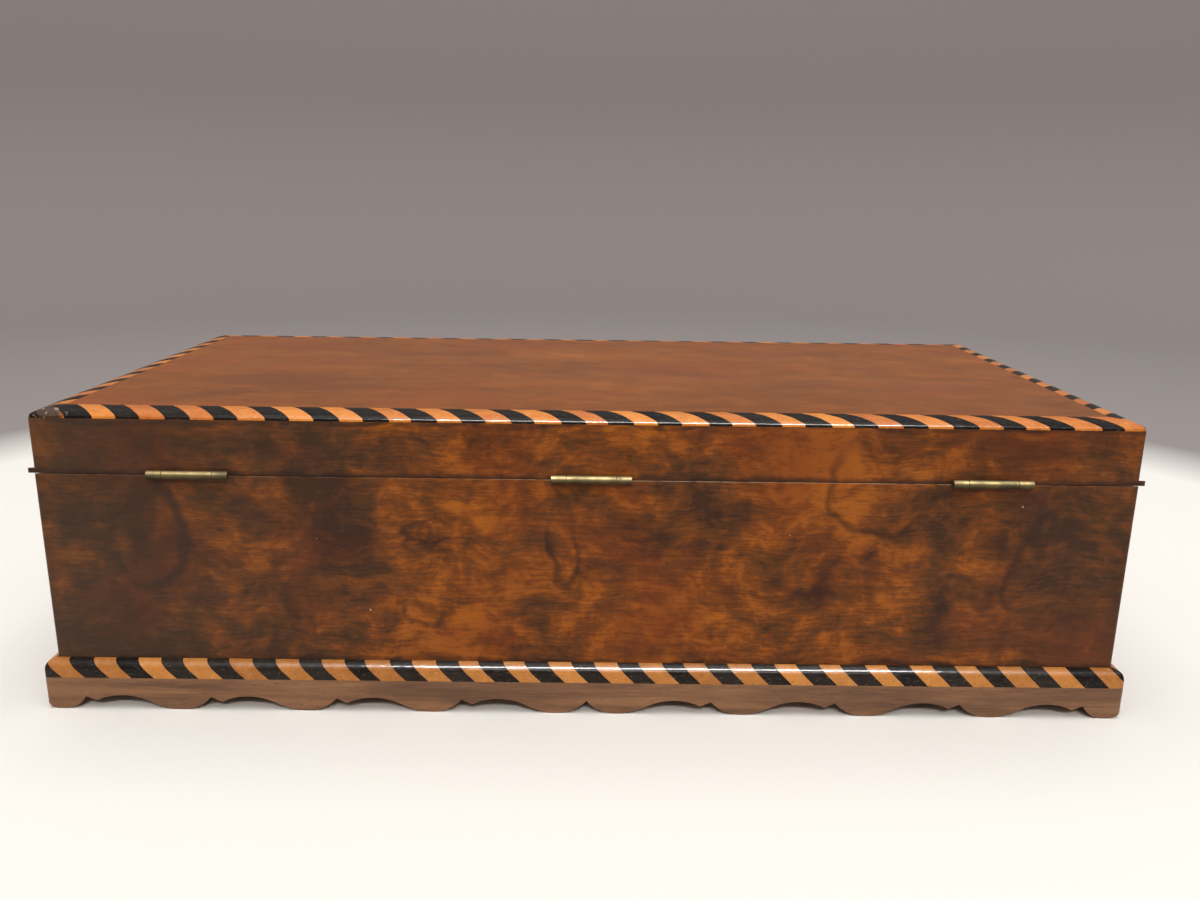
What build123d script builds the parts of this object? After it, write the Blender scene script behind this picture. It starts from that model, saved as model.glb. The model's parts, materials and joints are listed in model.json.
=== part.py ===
from build123d import *
import math
import os

os.makedirs("parts", exist_ok=True)

# A walnut writing slope: a box whose lid meets the case on a plane that falls from the
# back to the front. Millimetres, +Z up, front towards -Y, origin at the middle of the
# floor that the plinth stands on.

# Box
case_width = 508.0
case_depth = 241.3
total_height = 145.8
back_seam_height = 115.9
front_seam_height = 58.0
wall = 9.0
bottom_board = 6.0
seam_gap = 0.3

# Plinth
apron_height = 16.1
apron_thickness = 12.0
plinth_projection = 5.0
scallop_pitch = 60.0
scallop_rise = 6.6
nib_height = 4.2
arch_rise = 7.2
foot_length = 19.0
foot_corner_length = 6.5
foot_corner_height = 3.4
foot_flat = 2.5

# Striped block bandings
lid_band_width = 12.2
lid_band_crown = 10.0
lid_band_height = 3.8
lid_band_arris = 1.2
lid_band_round = 1.5
lid_block_pitch = 22.3
lid_block_start = 6.7
plinth_band_height = 8.4
plinth_band_straight = 3.4
plinth_block_pitch = 21.75
plinth_block_start = 9.3

# Lid
lid_board_tongue = 4.2
lid_wall_edge = 4.0
lip_height = 2.3
lip_projection = 2.0
lining_thickness = 1.0
lid_opening = 100.0

# Lid hinges
hinge_count = 3
hinge_end_distance = 70.0
hinge_row_offset = -1.2
hinge_length = 36.8
hinge_leaf_width = 7.2
hinge_leaf_thickness = 1.0
hinge_barrel_radius = 1.9
hinge_pin_radius = 0.9
hinge_middle_knuckle = 22.6
hinge_barrel_clearance = 0.3
hinge_screw_spacing = 13.5

# Fits shared by the metalwork
pin_clearance = 0.05
knuckle_gap = 0.25
screw_head_radius = 1.9
screw_shank_radius = 1.0
screw_length = 7.5
flap_screw_length = 5.5
screw_slot_width = 0.6
screw_slot_depth = 0.7
screw_clearance = 0.05

# Writing surface
surface_drop = 2.0
flap_thickness = 7.0
flap_side_gap = 0.6
flap_edge_gap = 0.5
flap_seat_gap = 0.3
leather_thickness = 0.8
leather_border = 20.0
leather_corner = 3.0
front_rail_width = 16.0
hinge_rail_overhang = 10.0
finger_scoop_radius = 10.0
ledge_thickness = 6.0
ledge_width = 7.0
front_ledge_width = 24.0

# Flap hinges
flap_hinge_end_distance = 70.0
flap_hinge_length = 28.0
flap_hinge_leaf_width = 7.0
flap_hinge_leaf_thickness = 1.0
flap_hinge_barrel_radius = 1.6
flap_hinge_pin_radius = 0.7
flap_hinge_middle_knuckle = 12.0
flap_hinge_screw_spacing = 16.0

# Rear compartment
rear_compartment_depth = 48.0
divider = 6.0
partition = 8.0
partition_drop = 8.0
tray_step = 3.0
tray_thickness = 20.0
tray_drop = 3.0
pen_trough_length = 250.0
pen_trough_radius = 19.0
pen_trough_depth = 14.0
nib_well_radius = 16.0
nib_well_depth = 11.0
nib_well_gap = 12.0
shelf_height = 18.0
shelf_thickness = 5.0
shelf_groove = 2.0

# Inkwells
inkwell_width = 44.0
inkwell_gap = 1.0
inkwell_body_height = 40.0
inkwell_edge_chamfer = 4.0
inkwell_shoulder = 6.0
inkwell_neck_radius = 9.8
inkwell_neck_height = 4.5
inkwell_bore_radius = 7.5
inkwell_floor = 6.0
collar_wall = 2.0
collar_cement = 0.05
cap_seat_gap = 0.2
cap_skirt = 2.6
cap_dome = 3.0
cap_wall = 1.0
cap_hinge_offset = 13.8
cap_barrel_radius = 1.4
cap_pin_radius = 0.6
cap_knuckle = 5.0
cap_side_knuckle = 2.6
cap_thumb_length = 3.0

# Lock
lock_width = 44.0
lock_depth = 24.0
lock_thickness = 6.2
lock_plate = 1.0
selvedge_length = 62.0
selvedge_width = 6.2
selvedge_thickness = 1.2
lock_screw_distance = 26.0
staple_distance = 11.0
staple_thickness = 1.6
staple_width = 2.4
staple_depth = 6.6
staple_eye_width = 1.6
staple_eye_height = 2.6
staple_eye_margin = 0.9
staple_clearance = 0.4
bolt_finger_thickness = 1.1
bolt_bar_height = 3.5
bolt_finger_height = 1.3
bolt_post_width = 2.0
bolt_travel = 4.0
bolt_start_gap = 0.6
bolt_guide_gap = 0.3
bolt_guide_thickness = 1.5
keyhole_radius = 2.2
keyhole_slot_width = 2.0
keyhole_length = 7.5
keyhole_depth = 16.0
drill_pin_radius = 1.0
escutcheon_width = 15.0
escutcheon_height = 20.0
escutcheon_thickness = 1.1
escutcheon_inlay = 0.6

# Places worked out from the sizes above
slope = math.atan2(back_seam_height - front_seam_height, case_depth)
half_width = case_width / 2
half_depth = case_depth / 2
inner_half_width = half_width - wall
inner_half_depth = half_depth - wall
case_floor = apron_height + bottom_board
lid_board = lid_board_tongue + lid_band_height
lid_board_height = total_height - lid_board
divider_back = inner_half_depth - rear_compartment_depth
divider_front = divider_back - divider
flap_axis_y = divider_front - hinge_rail_overhang
support_drop = surface_drop + flap_thickness + flap_seat_gap


def slope_height(y, drop=0.0):
    """Height over y of the case's rim plane, or of the plane that lies drop below it."""
    rise = (y - half_depth) * math.tan(slope)
    return back_seam_height + rise - drop / math.cos(slope)


def slope_plane(y, drop=0.0):
    """Plane on the rim's slope, or drop below it: local x is +X, local y runs up the slope."""
    normal = (0, -math.sin(slope), math.cos(slope))
    origin = (0, y, slope_height(y, drop))
    return Plane(origin=origin, x_dir=(1, 0, 0), z_dir=normal)


def prism_along_x(outline, x_low, x_high):
    """Solid from an outline of (y, z) points, carried along X."""
    face = make_face(Plane.YZ.offset(x_low) * Polyline(*outline, close=True))
    return extrude(face, x_high - x_low)


def face_of_lines(plane, lines):
    """Face on a plane, bounded by lines and curves drawn in the plane's own coordinates."""
    return make_face([plane * line for line in lines])


def prism_along_z(outline, z_low, z_high):
    """Solid from an outline of (x, y) points, carried up."""
    face = make_face(Plane.XY.offset(z_low) * Polyline(*outline, close=True))
    return extrude(face, z_high - z_low)


def box_between(low, high):
    """Block between two corners."""
    size = [b - a for a, b in zip(low, high)]
    return Pos(*low) * Box(*size, align=(Align.MIN, Align.MIN, Align.MIN))


def rod(radius, x_low, x_high, y=0.0, z=0.0):
    """Round bar along X."""
    return Pos(x_low, y, z) * Rot(0, 90, 0) * extrude(Circle(radius), x_high - x_low)


def slope_slab(low, high):
    """Everything in the box's plan between two planes that lie above or below the rim's plane."""
    reach = case_depth
    outline = [
        (-reach, slope_height(-reach, -low)),
        (reach, slope_height(reach, -low)),
        (reach, slope_height(reach, -high)),
        (-reach, slope_height(-reach, -high)),
    ]
    return prism_along_x(outline, -case_width, case_width)


def ring_plan(outer, inner):
    """Plans of the four mitred members between two rectangles given as (x, y_front, y_back)."""
    corners = []
    for x, y_front, y_back in (outer, inner):
        corners.append([(-x, y_front), (x, y_front), (x, y_back), (-x, y_back)])
    plans = {}
    for index, side in enumerate(("front", "right", "back", "left")):
        following = (index + 1) % 4
        plans[side] = [
            corners[0][index],
            corners[0][following],
            corners[1][following],
            corners[1][index],
        ]
    return plans


wall_plan = ring_plan(
    (half_width, -half_depth, half_depth),
    (inner_half_width, -inner_half_depth, inner_half_depth),
)


def placed_on_sides(long_piece, short_piece, outer_half_width, outer_half_depth):
    """Copies of a piece modelled with its outer face on y = 0, set on the four sides."""
    return {
        "back": Pos(0, outer_half_depth, 0) * long_piece,
        "left": Pos(-outer_half_width, 0, 0) * Rot(0, 0, 90) * short_piece,
        "front": Pos(0, -outer_half_depth, 0) * Rot(0, 0, 180) * long_piece,
        "right": Pos(outer_half_width, 0, 0) * Rot(0, 0, -90) * short_piece,
    }


# ---------------------------------------------------------------- plinth

def scallop(along, start, direction, pitch):
    """One unit of the apron's edge: notch, nib, arch, ogee and lobe, as joined curves."""
    def at(share, height):
        return (start + direction * share * pitch, height)

    nib = at(0.085, nib_height)
    peak = at(0.29, arch_rise)
    middle = at(0.5275, arch_rise / 2)
    lobe = at(0.765, 0)
    arch = TangentArc(peak, nib, tangent=(-direction, 0))
    ogee_top = TangentArc(peak, middle, tangent=(direction, 0))
    ogee_foot = TangentArc(lobe, middle, tangent=(-direction, 0))
    lobe_back = TangentArc(lobe, at(1, scallop_rise), tangent=(direction, 0))
    along.extend([Line(at(0, scallop_rise), nib), arch, ogee_top, ogee_foot, lobe_back])


def end_foot(along, end, direction):
    """The plain foot that closes the apron's edge at a corner."""
    def at(distance, height):
        return (end + direction * distance, height)

    corner_top = at(0, foot_corner_height)
    flat_start = at(foot_corner_length, 0)
    flat_end = at(foot_corner_length + foot_flat, 0)
    corner = TangentArc(flat_start, corner_top, tangent=(-direction, 0))
    rise = TangentArc(flat_end, at(foot_length, scallop_rise), tangent=(direction, 0))
    along.extend([corner, Line(flat_start, flat_end), rise, Line(corner_top, at(0, apron_height))])


def apron_board(length):
    """A mitred plinth board with scalloped lower edge; its outer face lies on y = 0."""
    half = length / 2
    units = 2 * max(1, round((length - 2 * foot_length) / scallop_pitch / 2))
    pitch = (length - 2 * foot_length) / units
    edges = []
    for direction in (1, -1):
        end = -direction * half
        end_foot(edges, end, direction)
        for index in range(units // 2):
            start = end + direction * (foot_length + index * pitch)
            scallop(edges, start, direction, pitch)
    edges.append(Line((-half, apron_height), (half, apron_height)))
    board = extrude(face_of_lines(Plane.XZ, edges), -apron_thickness)
    return board & mitre_block(length, apron_thickness, 0, apron_height)


def mitre_block(length, thickness, z_low, z_high):
    """Block with 45-degree mitred ends whose outer face lies on y = 0, inside towards -y."""
    half = length / 2
    outline = [
        (-half, 0),
        (-half + thickness, -thickness),
        (half - thickness, -thickness),
        (half, 0),
    ]
    return prism_along_z(outline, z_low, z_high)


plinth_half_width = half_width + plinth_projection
plinth_half_depth = half_depth + plinth_projection


def plinth():
    """The four scalloped boards under the case."""
    boards = placed_on_sides(
        apron_board(2 * plinth_half_width),
        apron_board(2 * plinth_half_depth),
        plinth_half_width,
        plinth_half_depth,
    )
    return {f"plinth_{side}": board for side, board in boards.items()}


# ---------------------------------------------------------------- block bandings

def cut_blocks(moulding, length, pitch, start, slab):
    """Cuts a moulding into alternate light and dark blocks with slanting joints."""
    blocks = {"boxwood": [], "ebony": []}
    for index in range(-2, math.ceil(length / pitch) + 2):
        for name, offset in (("boxwood", 0.0), ("ebony", pitch / 2)):
            from_end = start + index * pitch + offset
            piece = moulding & slab(length / 2 - from_end, pitch / 2)
            blocks[name].extend(piece.solids())
    return blocks


def lid_slab(reach, x_end, width):
    """Upright slab that slants across the top edge of the lid."""
    outline = [
        (x_end + reach, -reach),
        (x_end - reach, reach),
        (x_end - reach - width, reach),
        (x_end + reach - width, -reach),
    ]
    return prism_along_z(outline, total_height - 2 * lid_band_height, total_height + lid_band_height)


def lid_band_blocks(length):
    """Blocks of the lid's rounded edge banding for one side."""
    low = total_height - lid_band_height
    arris = (0, low + lid_band_arris)
    shoulder = (-lid_band_crown, total_height)
    inner_top = (-lid_band_width, total_height)
    corner = (-lid_band_width, low)
    lines = [
        Line((0, low), arris),
        TangentArc(shoulder, arris, tangent=(1, 0)),
        Line(shoulder, inner_top),
        Line(inner_top, corner),
        Line(corner, (0, low)),
    ]
    profile = face_of_lines(Plane.YZ.offset(-length / 2), lines)
    sharp = profile.vertices().group_by(Axis.Y)[-1].sort_by(Axis.Z)[-1]
    profile = fillet(sharp, lid_band_round)
    moulding = extrude(profile, length)
    moulding = moulding & mitre_block(length, lid_band_width, low, total_height)
    return cut_blocks(
        moulding,
        length,
        lid_block_pitch,
        lid_block_start,
        lambda x_end, width: lid_slab(2 * lid_band_width, x_end, width),
    )


def plinth_slab(reach, x_end, width):
    """Slab that slants across the face of the plinth banding."""
    outline = [
        (x_end - reach, -reach),
        (x_end + reach, reach),
        (x_end + reach - width, reach),
        (x_end - reach - width, -reach),
    ]
    face = make_face(Plane.XZ.offset(-reach) * Pos(0, apron_height) * Polyline(*outline, close=True))
    return extrude(face, 2 * reach)


def plinth_band_blocks(length):
    """Blocks of the banding that lies on the plinth, for one side."""
    low = apron_height
    shoulder = (0, low + plinth_band_straight)
    top = (-plinth_projection, low + plinth_band_height)
    foot = (-plinth_projection, low)
    lines = [
        Line((0, low), shoulder),
        TangentArc(shoulder, top, tangent=(0, 1)),
        Line(top, foot),
        Line(foot, (0, low)),
    ]
    profile = face_of_lines(Plane.YZ.offset(-length / 2), lines)
    moulding = extrude(profile, length)
    moulding = moulding & mitre_block(
        length, plinth_projection, low, low + plinth_band_height
    )
    return cut_blocks(
        moulding,
        length,
        plinth_block_pitch,
        plinth_block_start,
        lambda x_end, width: plinth_slab(2 * plinth_band_height, x_end, width),
    )


def banding(name, blocks_of, outer_half_width, outer_half_depth):
    """Light and dark blocks of one banding on all four sides."""
    long_blocks = blocks_of(2 * outer_half_width)
    short_blocks = blocks_of(2 * outer_half_depth)
    nodes = {}
    for wood in ("boxwood", "ebony"):
        sides = placed_on_sides(
            Compound(children=long_blocks[wood]),
            Compound(children=short_blocks[wood]),
            outer_half_width,
            outer_half_depth,
        )
        solids = [solid for side in sides.values() for solid in side.solids()]
        nodes[f"{name}_{wood}_blocks"] = Compound(children=solids)
    return nodes


# ---------------------------------------------------------------- hinges and screws

def screw(length=screw_length):
    """Countersunk wood screw with a slotted head whose face lies on z = 0, pointing down."""
    slope_of_head = screw_head_radius - screw_shank_radius
    head = Pos(0, 0, -slope_of_head) * Cone(
        screw_shank_radius,
        screw_head_radius,
        slope_of_head,
        align=(Align.CENTER, Align.CENTER, Align.MIN),
    )
    shank_length = length - 2 * screw_shank_radius
    shank = Pos(0, 0, -shank_length) * extrude(Circle(screw_shank_radius), shank_length)
    point = Pos(0, 0, -length) * Cone(
        screw_shank_radius / 5,
        screw_shank_radius,
        2 * screw_shank_radius,
        align=(Align.CENTER, Align.CENTER, Align.MIN),
    )
    slot = box_between(
        (-screw_head_radius, -screw_slot_width / 2, -screw_slot_depth),
        (screw_head_radius, screw_slot_width / 2, 0),
    )
    return head + shank + point - slot


def screw_hole(length=screw_length):
    """The room that a screw takes: its countersink in the plate and its hole in the wood."""
    grown = screw_clearance
    slope_of_head = screw_head_radius - screw_shank_radius
    head = Pos(0, 0, -slope_of_head) * Cone(
        screw_shank_radius + grown,
        screw_head_radius + grown,
        slope_of_head,
        align=(Align.CENTER, Align.CENTER, Align.MIN),
    )
    depth = length + grown
    shank = Pos(0, 0, -depth) * extrude(Circle(screw_shank_radius + grown), depth)
    return head + shank


def knuckle_spans(length, middle):
    """Spans along X of the middle knuckle and of the two outer ones, as numbers from the centre."""
    inner = middle / 2
    outer_start = inner + knuckle_gap
    return [(-inner, inner)], [(-length / 2, -outer_start), (outer_start, length / 2)]


def hinge_leaf(length, spans, plate_low, plate_high, near, far, barrel, pin):
    """A leaf and its knuckles about the X axis; near and far are the plate's edges along y."""
    leaf = box_between((-length / 2, min(near, far), plate_low), (length / 2, max(near, far), plate_high))
    for x_low, x_high in spans:
        arm = box_between((x_low, min(near, 0), plate_low), (x_high, max(near, 0), plate_high))
        leaf += arm + rod(barrel, x_low, x_high)
    return leaf - rod(pin + pin_clearance, -length, length)


def spaced(count, spacing):
    """Evenly spaced places about the middle."""
    return [(index - (count - 1) / 2) * spacing for index in range(count)]


hinge_places = [
    hinge_row_offset + place
    for place in spaced(hinge_count, (case_width - 2 * hinge_end_distance) / (hinge_count - 1))
]
hinge_names = {0: "left", hinge_count // 2: "centre", hinge_count - 1: "right"}
lid_hinge_reach = (hinge_barrel_radius + hinge_barrel_clearance) / math.cos(slope)
lid_axis_plane = slope_plane(half_depth + lid_hinge_reach * math.cos(slope), -seam_gap / 2)
lid_screw_line = -lid_hinge_reach - hinge_leaf_width / 2


def lid_hinge_leaves():
    """One lid leaf and one case leaf, about the hinge axis, folded shut."""
    middle, outer = knuckle_spans(hinge_length, hinge_middle_knuckle)
    shared = {
        "length": hinge_length,
        "near": -lid_hinge_reach,
        "far": -lid_hinge_reach - hinge_leaf_width,
        "barrel": hinge_barrel_radius,
        "pin": hinge_pin_radius,
    }
    face = seam_gap / 2
    lid_leaf = hinge_leaf(
        spans=outer, plate_low=face, plate_high=face + hinge_leaf_thickness, **shared
    )
    case_leaf = hinge_leaf(
        spans=middle, plate_low=-face - hinge_leaf_thickness, plate_high=-face, **shared
    )
    for x in spaced(3, hinge_screw_spacing):
        lid_leaf -= Pos(x, lid_screw_line, face) * Rot(180, 0, 0) * screw_hole()
        case_leaf -= Pos(x, lid_screw_line, -face) * screw_hole()
    return lid_leaf, case_leaf


def lid_hinge_recess(side):
    """Room for the leaves and screws of all lid hinges; side is 1 in the lid, -1 in the case."""
    face = side * seam_gap / 2
    depth = face + side * hinge_leaf_thickness
    room = []
    for place in hinge_places:
        room.append(
            box_between(
                (place - hinge_length / 2, -lid_hinge_reach - hinge_leaf_width, min(0, depth)),
                (place + hinge_length / 2, lid_hinge_reach, max(0, depth)),
            )
        )
        for x in spaced(3, hinge_screw_spacing):
            turn = Rot(180, 0, 0) if side > 0 else Rot(0, 0, 0)
            room.append(Pos(place + x, lid_screw_line, face) * turn * screw_hole())
    return [lid_axis_plane * piece for piece in room]


def lid_hinges():
    """Leaves and pins of the lid's hinges, with their screws in the lid and in the case."""
    lid_leaf, case_leaf = lid_hinge_leaves()
    nodes = {}
    pins = []
    upper_screws = []
    lower_screws = []
    for index, place in enumerate(hinge_places):
        name = hinge_names.get(index, str(index))
        nodes[f"lid_hinge_{name}_lid_leaf"] = lid_axis_plane * Pos(place, 0, 0) * lid_leaf
        nodes[f"lid_hinge_{name}_case_leaf"] = lid_axis_plane * Pos(place, 0, 0) * case_leaf
        half = hinge_length / 2
        pins.append(lid_axis_plane * rod(hinge_pin_radius, place - half, place + half))
        for x in spaced(3, hinge_screw_spacing):
            at = Pos(place + x, lid_screw_line, 0)
            upper_screws.append(lid_axis_plane * at * Pos(0, 0, seam_gap / 2) * Rot(180, 0, 0) * screw())
            lower_screws.append(lid_axis_plane * at * Pos(0, 0, -seam_gap / 2) * screw())
    nodes["lid_hinge_pins"] = Compound(children=pins)
    return nodes, upper_screws, lower_screws


flap_axis_plane = slope_plane(flap_axis_y, surface_drop)
flap_hinge_places = spaced(2, case_width - 2 * wall - 2 * flap_hinge_end_distance)
flap_hinge_near = flap_hinge_barrel_radius + knuckle_gap
flap_screw_line = flap_hinge_near + flap_hinge_leaf_width / 2


def flap_hinge_recess(side):
    """Room for the flap hinges' leaves, barrels and screws; side is 1 in the rail, -1 in the flap."""
    room = []
    half = flap_hinge_length / 2 + knuckle_gap
    for place in flap_hinge_places:
        room.append(rod(flap_hinge_near, place - half, place + half))
        near = 0
        far = side * (flap_hinge_near + flap_hinge_leaf_width)
        room.append(
            box_between(
                (place - flap_hinge_length / 2, min(near, far), -flap_hinge_leaf_thickness),
                (place + flap_hinge_length / 2, max(near, far), 0),
            )
        )
        for x in spaced(2, flap_hinge_screw_spacing):
            at = Pos(place + x, side * flap_screw_line, 0)
            room.append(at * screw_hole(flap_screw_length))
    return [flap_axis_plane * piece for piece in room]


def flap_hinges():
    """Leaves and pins of the flap's hinges, with their screws in the flap and in the rail."""
    middle, outer = knuckle_spans(flap_hinge_length, flap_hinge_middle_knuckle)
    leaves = {"fixed": [], "moving": []}
    pins = []
    screws = {"fixed": [], "moving": []}
    for place in flap_hinge_places:
        for name, side, spans in (("fixed", 1, outer), ("moving", -1, middle)):
            leaf = hinge_leaf(
                length=flap_hinge_length,
                spans=spans,
                plate_low=-flap_hinge_leaf_thickness,
                plate_high=0,
                near=side * flap_hinge_near,
                far=side * (flap_hinge_near + flap_hinge_leaf_width),
                barrel=flap_hinge_barrel_radius,
                pin=flap_hinge_pin_radius,
            )
            for x in spaced(2, flap_hinge_screw_spacing):
                at = Pos(x, side * flap_screw_line, 0)
                leaf -= at * screw_hole()
                screw_at = flap_axis_plane * Pos(place, 0, 0) * at
                screws[name].append(screw_at * screw(flap_screw_length))
            leaves[name].append(flap_axis_plane * Pos(place, 0, 0) * leaf)
        half = flap_hinge_length / 2
        pins.append(flap_axis_plane * rod(flap_hinge_pin_radius, place - half, place + half))
    nodes = {
        "flap_hinge_fixed_leaves": Compound(children=leaves["fixed"]),
        "flap_hinge_moving_leaves": Compound(children=leaves["moving"]),
        "flap_hinge_pins": Compound(children=pins),
    }
    return nodes, screws["moving"], screws["fixed"]


# ---------------------------------------------------------------- lock

lock_y = -inner_half_depth - lock_thickness / 2
lock_plane = slope_plane(lock_y)
link_plane = slope_plane(lock_y, -seam_gap)
staple_line = -staple_depth / 2 * math.tan(slope)
eye_depth = staple_depth - staple_eye_margin - staple_eye_height / 2
eye_y = lock_y + staple_line * math.cos(slope) + (eye_depth - seam_gap) * math.sin(slope)
eye_z = (
    slope_height(lock_y)
    + staple_line * math.sin(slope)
    - (eye_depth - seam_gap) * math.cos(slope)
)
bolt_bar_top = eye_z - staple_depth + eye_depth - bolt_guide_gap
bolt_bar_low = bolt_bar_top - bolt_bar_height
lock_bottom = slope_height(lock_y) - lock_depth
keyhole_height = slope_height(lock_y) - keyhole_depth


def keyhole(y_low, y_high, grown=0.0):
    """Keyhole through Y: a round eye over a narrow slot."""
    reach = y_high - y_low
    eye = Circle(keyhole_radius + grown)
    slot_length = keyhole_length - keyhole_radius
    slot = Pos(0, -slot_length / 2) * Rectangle(keyhole_slot_width + 2 * grown, slot_length)
    face = Plane.XZ.offset(-y_high) * Pos(0, keyhole_height) * (eye + slot)
    return extrude(face, reach)


def lock_case():
    """Box lock let into the front wall: case, top plate with two slots, and drill pin."""
    y_back = -inner_half_depth
    y_front = y_back - lock_thickness
    body = prism_along_x(
        [
            (y_front, lock_bottom),
            (y_back, lock_bottom),
            (y_back, slope_height(y_back)),
            (y_front, slope_height(y_front)),
        ],
        -lock_width / 2,
        lock_width / 2,
    )
    hollow = prism_along_x(
        [
            (y_front + lock_plate, lock_bottom + lock_plate),
            (y_back - lock_plate, lock_bottom + lock_plate),
            (y_back - lock_plate, slope_height(y_back - lock_plate, selvedge_thickness)),
            (y_front + lock_plate, slope_height(y_front + lock_plate, selvedge_thickness)),
        ],
        lock_plate - lock_width / 2,
        lock_width / 2 - lock_plate,
    )
    drill_pin = (
        Plane.XZ.offset(-y_back + lock_plate / 2)
        * Pos(0, keyhole_height)
        * extrude(Circle(drill_pin_radius), lock_thickness - lock_plate)
    )
    guide_top = bolt_bar_low - bolt_guide_gap
    guide = box_between(
        (-lock_width / 2 + lock_plate / 2, y_front + lock_plate / 2, guide_top - bolt_guide_thickness),
        (lock_width / 2 - lock_plate / 2, y_back - lock_plate / 2, guide_top),
    )
    body = body - hollow + drill_pin + guide
    body += selvedge()
    for side in (-1, 1):
        body -= lock_plane * Pos(side * staple_distance, staple_line, 0) * Box(
            staple_thickness + 2 * staple_clearance,
            staple_width + 2 * staple_clearance,
            4 * selvedge_thickness,
        )
        body -= lock_plane * Pos(side * lock_screw_distance, 0, 0) * screw_hole()
    return body - (keyhole(y_front - 1, y_front + lock_plate + 1) - drill_pin)


def selvedge():
    """The lock's top plate, flush with the wall's sloping edge."""
    y_back = -inner_half_depth
    y_front = y_back - selvedge_width
    outline = [
        (y_front, slope_height(y_front, selvedge_thickness)),
        (y_back, slope_height(y_back, selvedge_thickness)),
        (y_back, slope_height(y_back)),
        (y_front, slope_height(y_front)),
    ]
    return prism_along_x(outline, -selvedge_length / 2, selvedge_length / 2)


def lock_room():
    """What is cut from the front wall for the lock, its screws, the keyhole and the escutcheon."""
    y_back = -inner_half_depth
    room = [
        prism_along_x(
            [
                (y_back - lock_thickness, lock_bottom),
                (y_back, lock_bottom),
                (y_back, total_height),
                (y_back - lock_thickness, total_height),
            ],
            -lock_width / 2,
            lock_width / 2,
        ),
        selvedge(),
        keyhole(-half_depth, y_back, screw_clearance),
        escutcheon_blank(),
    ]
    for side in (-1, 1):
        room.append(lock_plane * Pos(side * lock_screw_distance, 0, 0) * screw_hole())
    return room


def escutcheon_blank():
    """Oval plate let part of its thickness into the front."""
    face = (
        Plane.XZ.offset(half_depth - escutcheon_inlay)
        * Pos(0, keyhole_height - (keyhole_length - keyhole_radius) / 2)
        * Ellipse(escutcheon_width / 2, escutcheon_height / 2)
    )
    return extrude(face, escutcheon_thickness)


def link_plate():
    """Plate under the lid's front edge with two staples that drop into the lock."""
    plate = Pos(0, 0, selvedge_thickness / 2) * Box(selvedge_length, selvedge_width, selvedge_thickness)
    for side in (-1, 1):
        x = side * staple_distance
        blade = box_between(
            (x - staple_thickness / 2, staple_line - staple_width / 2, -staple_depth),
            (x + staple_thickness / 2, staple_line + staple_width / 2, selvedge_thickness / 2),
        )
        eye = Pos(x, staple_line, -eye_depth) * Box(
            2 * staple_thickness, staple_eye_width, staple_eye_height
        )
        plate += blade - eye
        plate -= Pos(side * lock_screw_distance, 0, 0) * Rot(180, 0, 0) * screw_hole()
    return link_plane * plate


def link_plate_room():
    """What is cut from the lid's front lip and board for the link plate and its screws."""
    room = [
        Pos(0, 0, selvedge_thickness / 2) * Box(selvedge_length, selvedge_width, selvedge_thickness)
    ]
    for side in (-1, 1):
        room.append(Pos(side * lock_screw_distance, 0, 0) * Rot(180, 0, 0) * screw_hole())
    return [link_plane * piece for piece in room]


def lock_bolt():
    """Sliding bolt: a bar on the lock's guide, with two fingers that enter the staples' eyes."""
    y_low = eye_y - bolt_finger_thickness / 2
    y_high = eye_y + bolt_finger_thickness / 2
    z_low = eye_z - bolt_finger_height / 2
    z_high = eye_z + bolt_finger_height / 2
    bar_y = lock_thickness / 2 - lock_plate - bolt_guide_gap
    tips = [
        side * staple_distance - staple_thickness / 2 - bolt_start_gap for side in (-1, 1)
    ]
    bolt = box_between(
        (tips[0] - bolt_travel - bolt_post_width, lock_y - bar_y, bolt_bar_low),
        (tips[1] - bolt_travel, lock_y + bar_y, bolt_bar_top),
    )
    for tip in tips:
        post_low = tip - bolt_travel - bolt_post_width
        bolt += box_between((post_low, y_low, z_low), (tip, y_high, z_high))
        bolt += box_between(
            (post_low, y_low, bolt_bar_top - bolt_bar_height / 2),
            (tip - bolt_travel, y_high, z_high),
        )
    return bolt


def lock():
    """Lock case, bolt, link plate and escutcheon, with the screws in the lid and in the case."""
    lock_screws = []
    link_screws = []
    for side in (-1, 1):
        at = Pos(side * lock_screw_distance, 0, 0)
        lock_screws.append(lock_plane * at * screw())
        link_screws.append(link_plane * at * Rot(180, 0, 0) * screw())
    nodes = {
        "lock_case": lock_case(),
        "lock_bolt": lock_bolt(),
        "lock_link_plate": link_plate(),
        "keyhole_escutcheon": escutcheon_blank() - keyhole(-case_depth, 0),
    }
    return nodes, link_screws, lock_screws


# ---------------------------------------------------------------- case

def cut_away(solid, pieces):
    """A solid with a list of pieces cut from it."""
    for piece in pieces:
        solid -= piece
    return solid


def case_shell():
    """Mitred walls on a bottom board, their rim cut to the slope."""
    below_rim = slope_slab(-2 * total_height, 0)
    nodes = {}
    for side, plan in wall_plan.items():
        nodes[f"case_{side}_wall"] = prism_along_z(plan, case_floor, total_height) & below_rim
    nodes["case_back_wall"] = cut_away(nodes["case_back_wall"], lid_hinge_recess(-1))
    nodes["case_front_wall"] = cut_away(nodes["case_front_wall"], lock_room())
    for side, sign in (("left", -1), ("right", 1)):
        nodes[f"case_{side}_wall"] -= shelf(sign)
    nodes["case_bottom_board"] = box_between(
        (-half_width, -half_depth, apron_height), (half_width, half_depth, case_floor)
    )
    return nodes


# ---------------------------------------------------------------- lid

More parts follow.
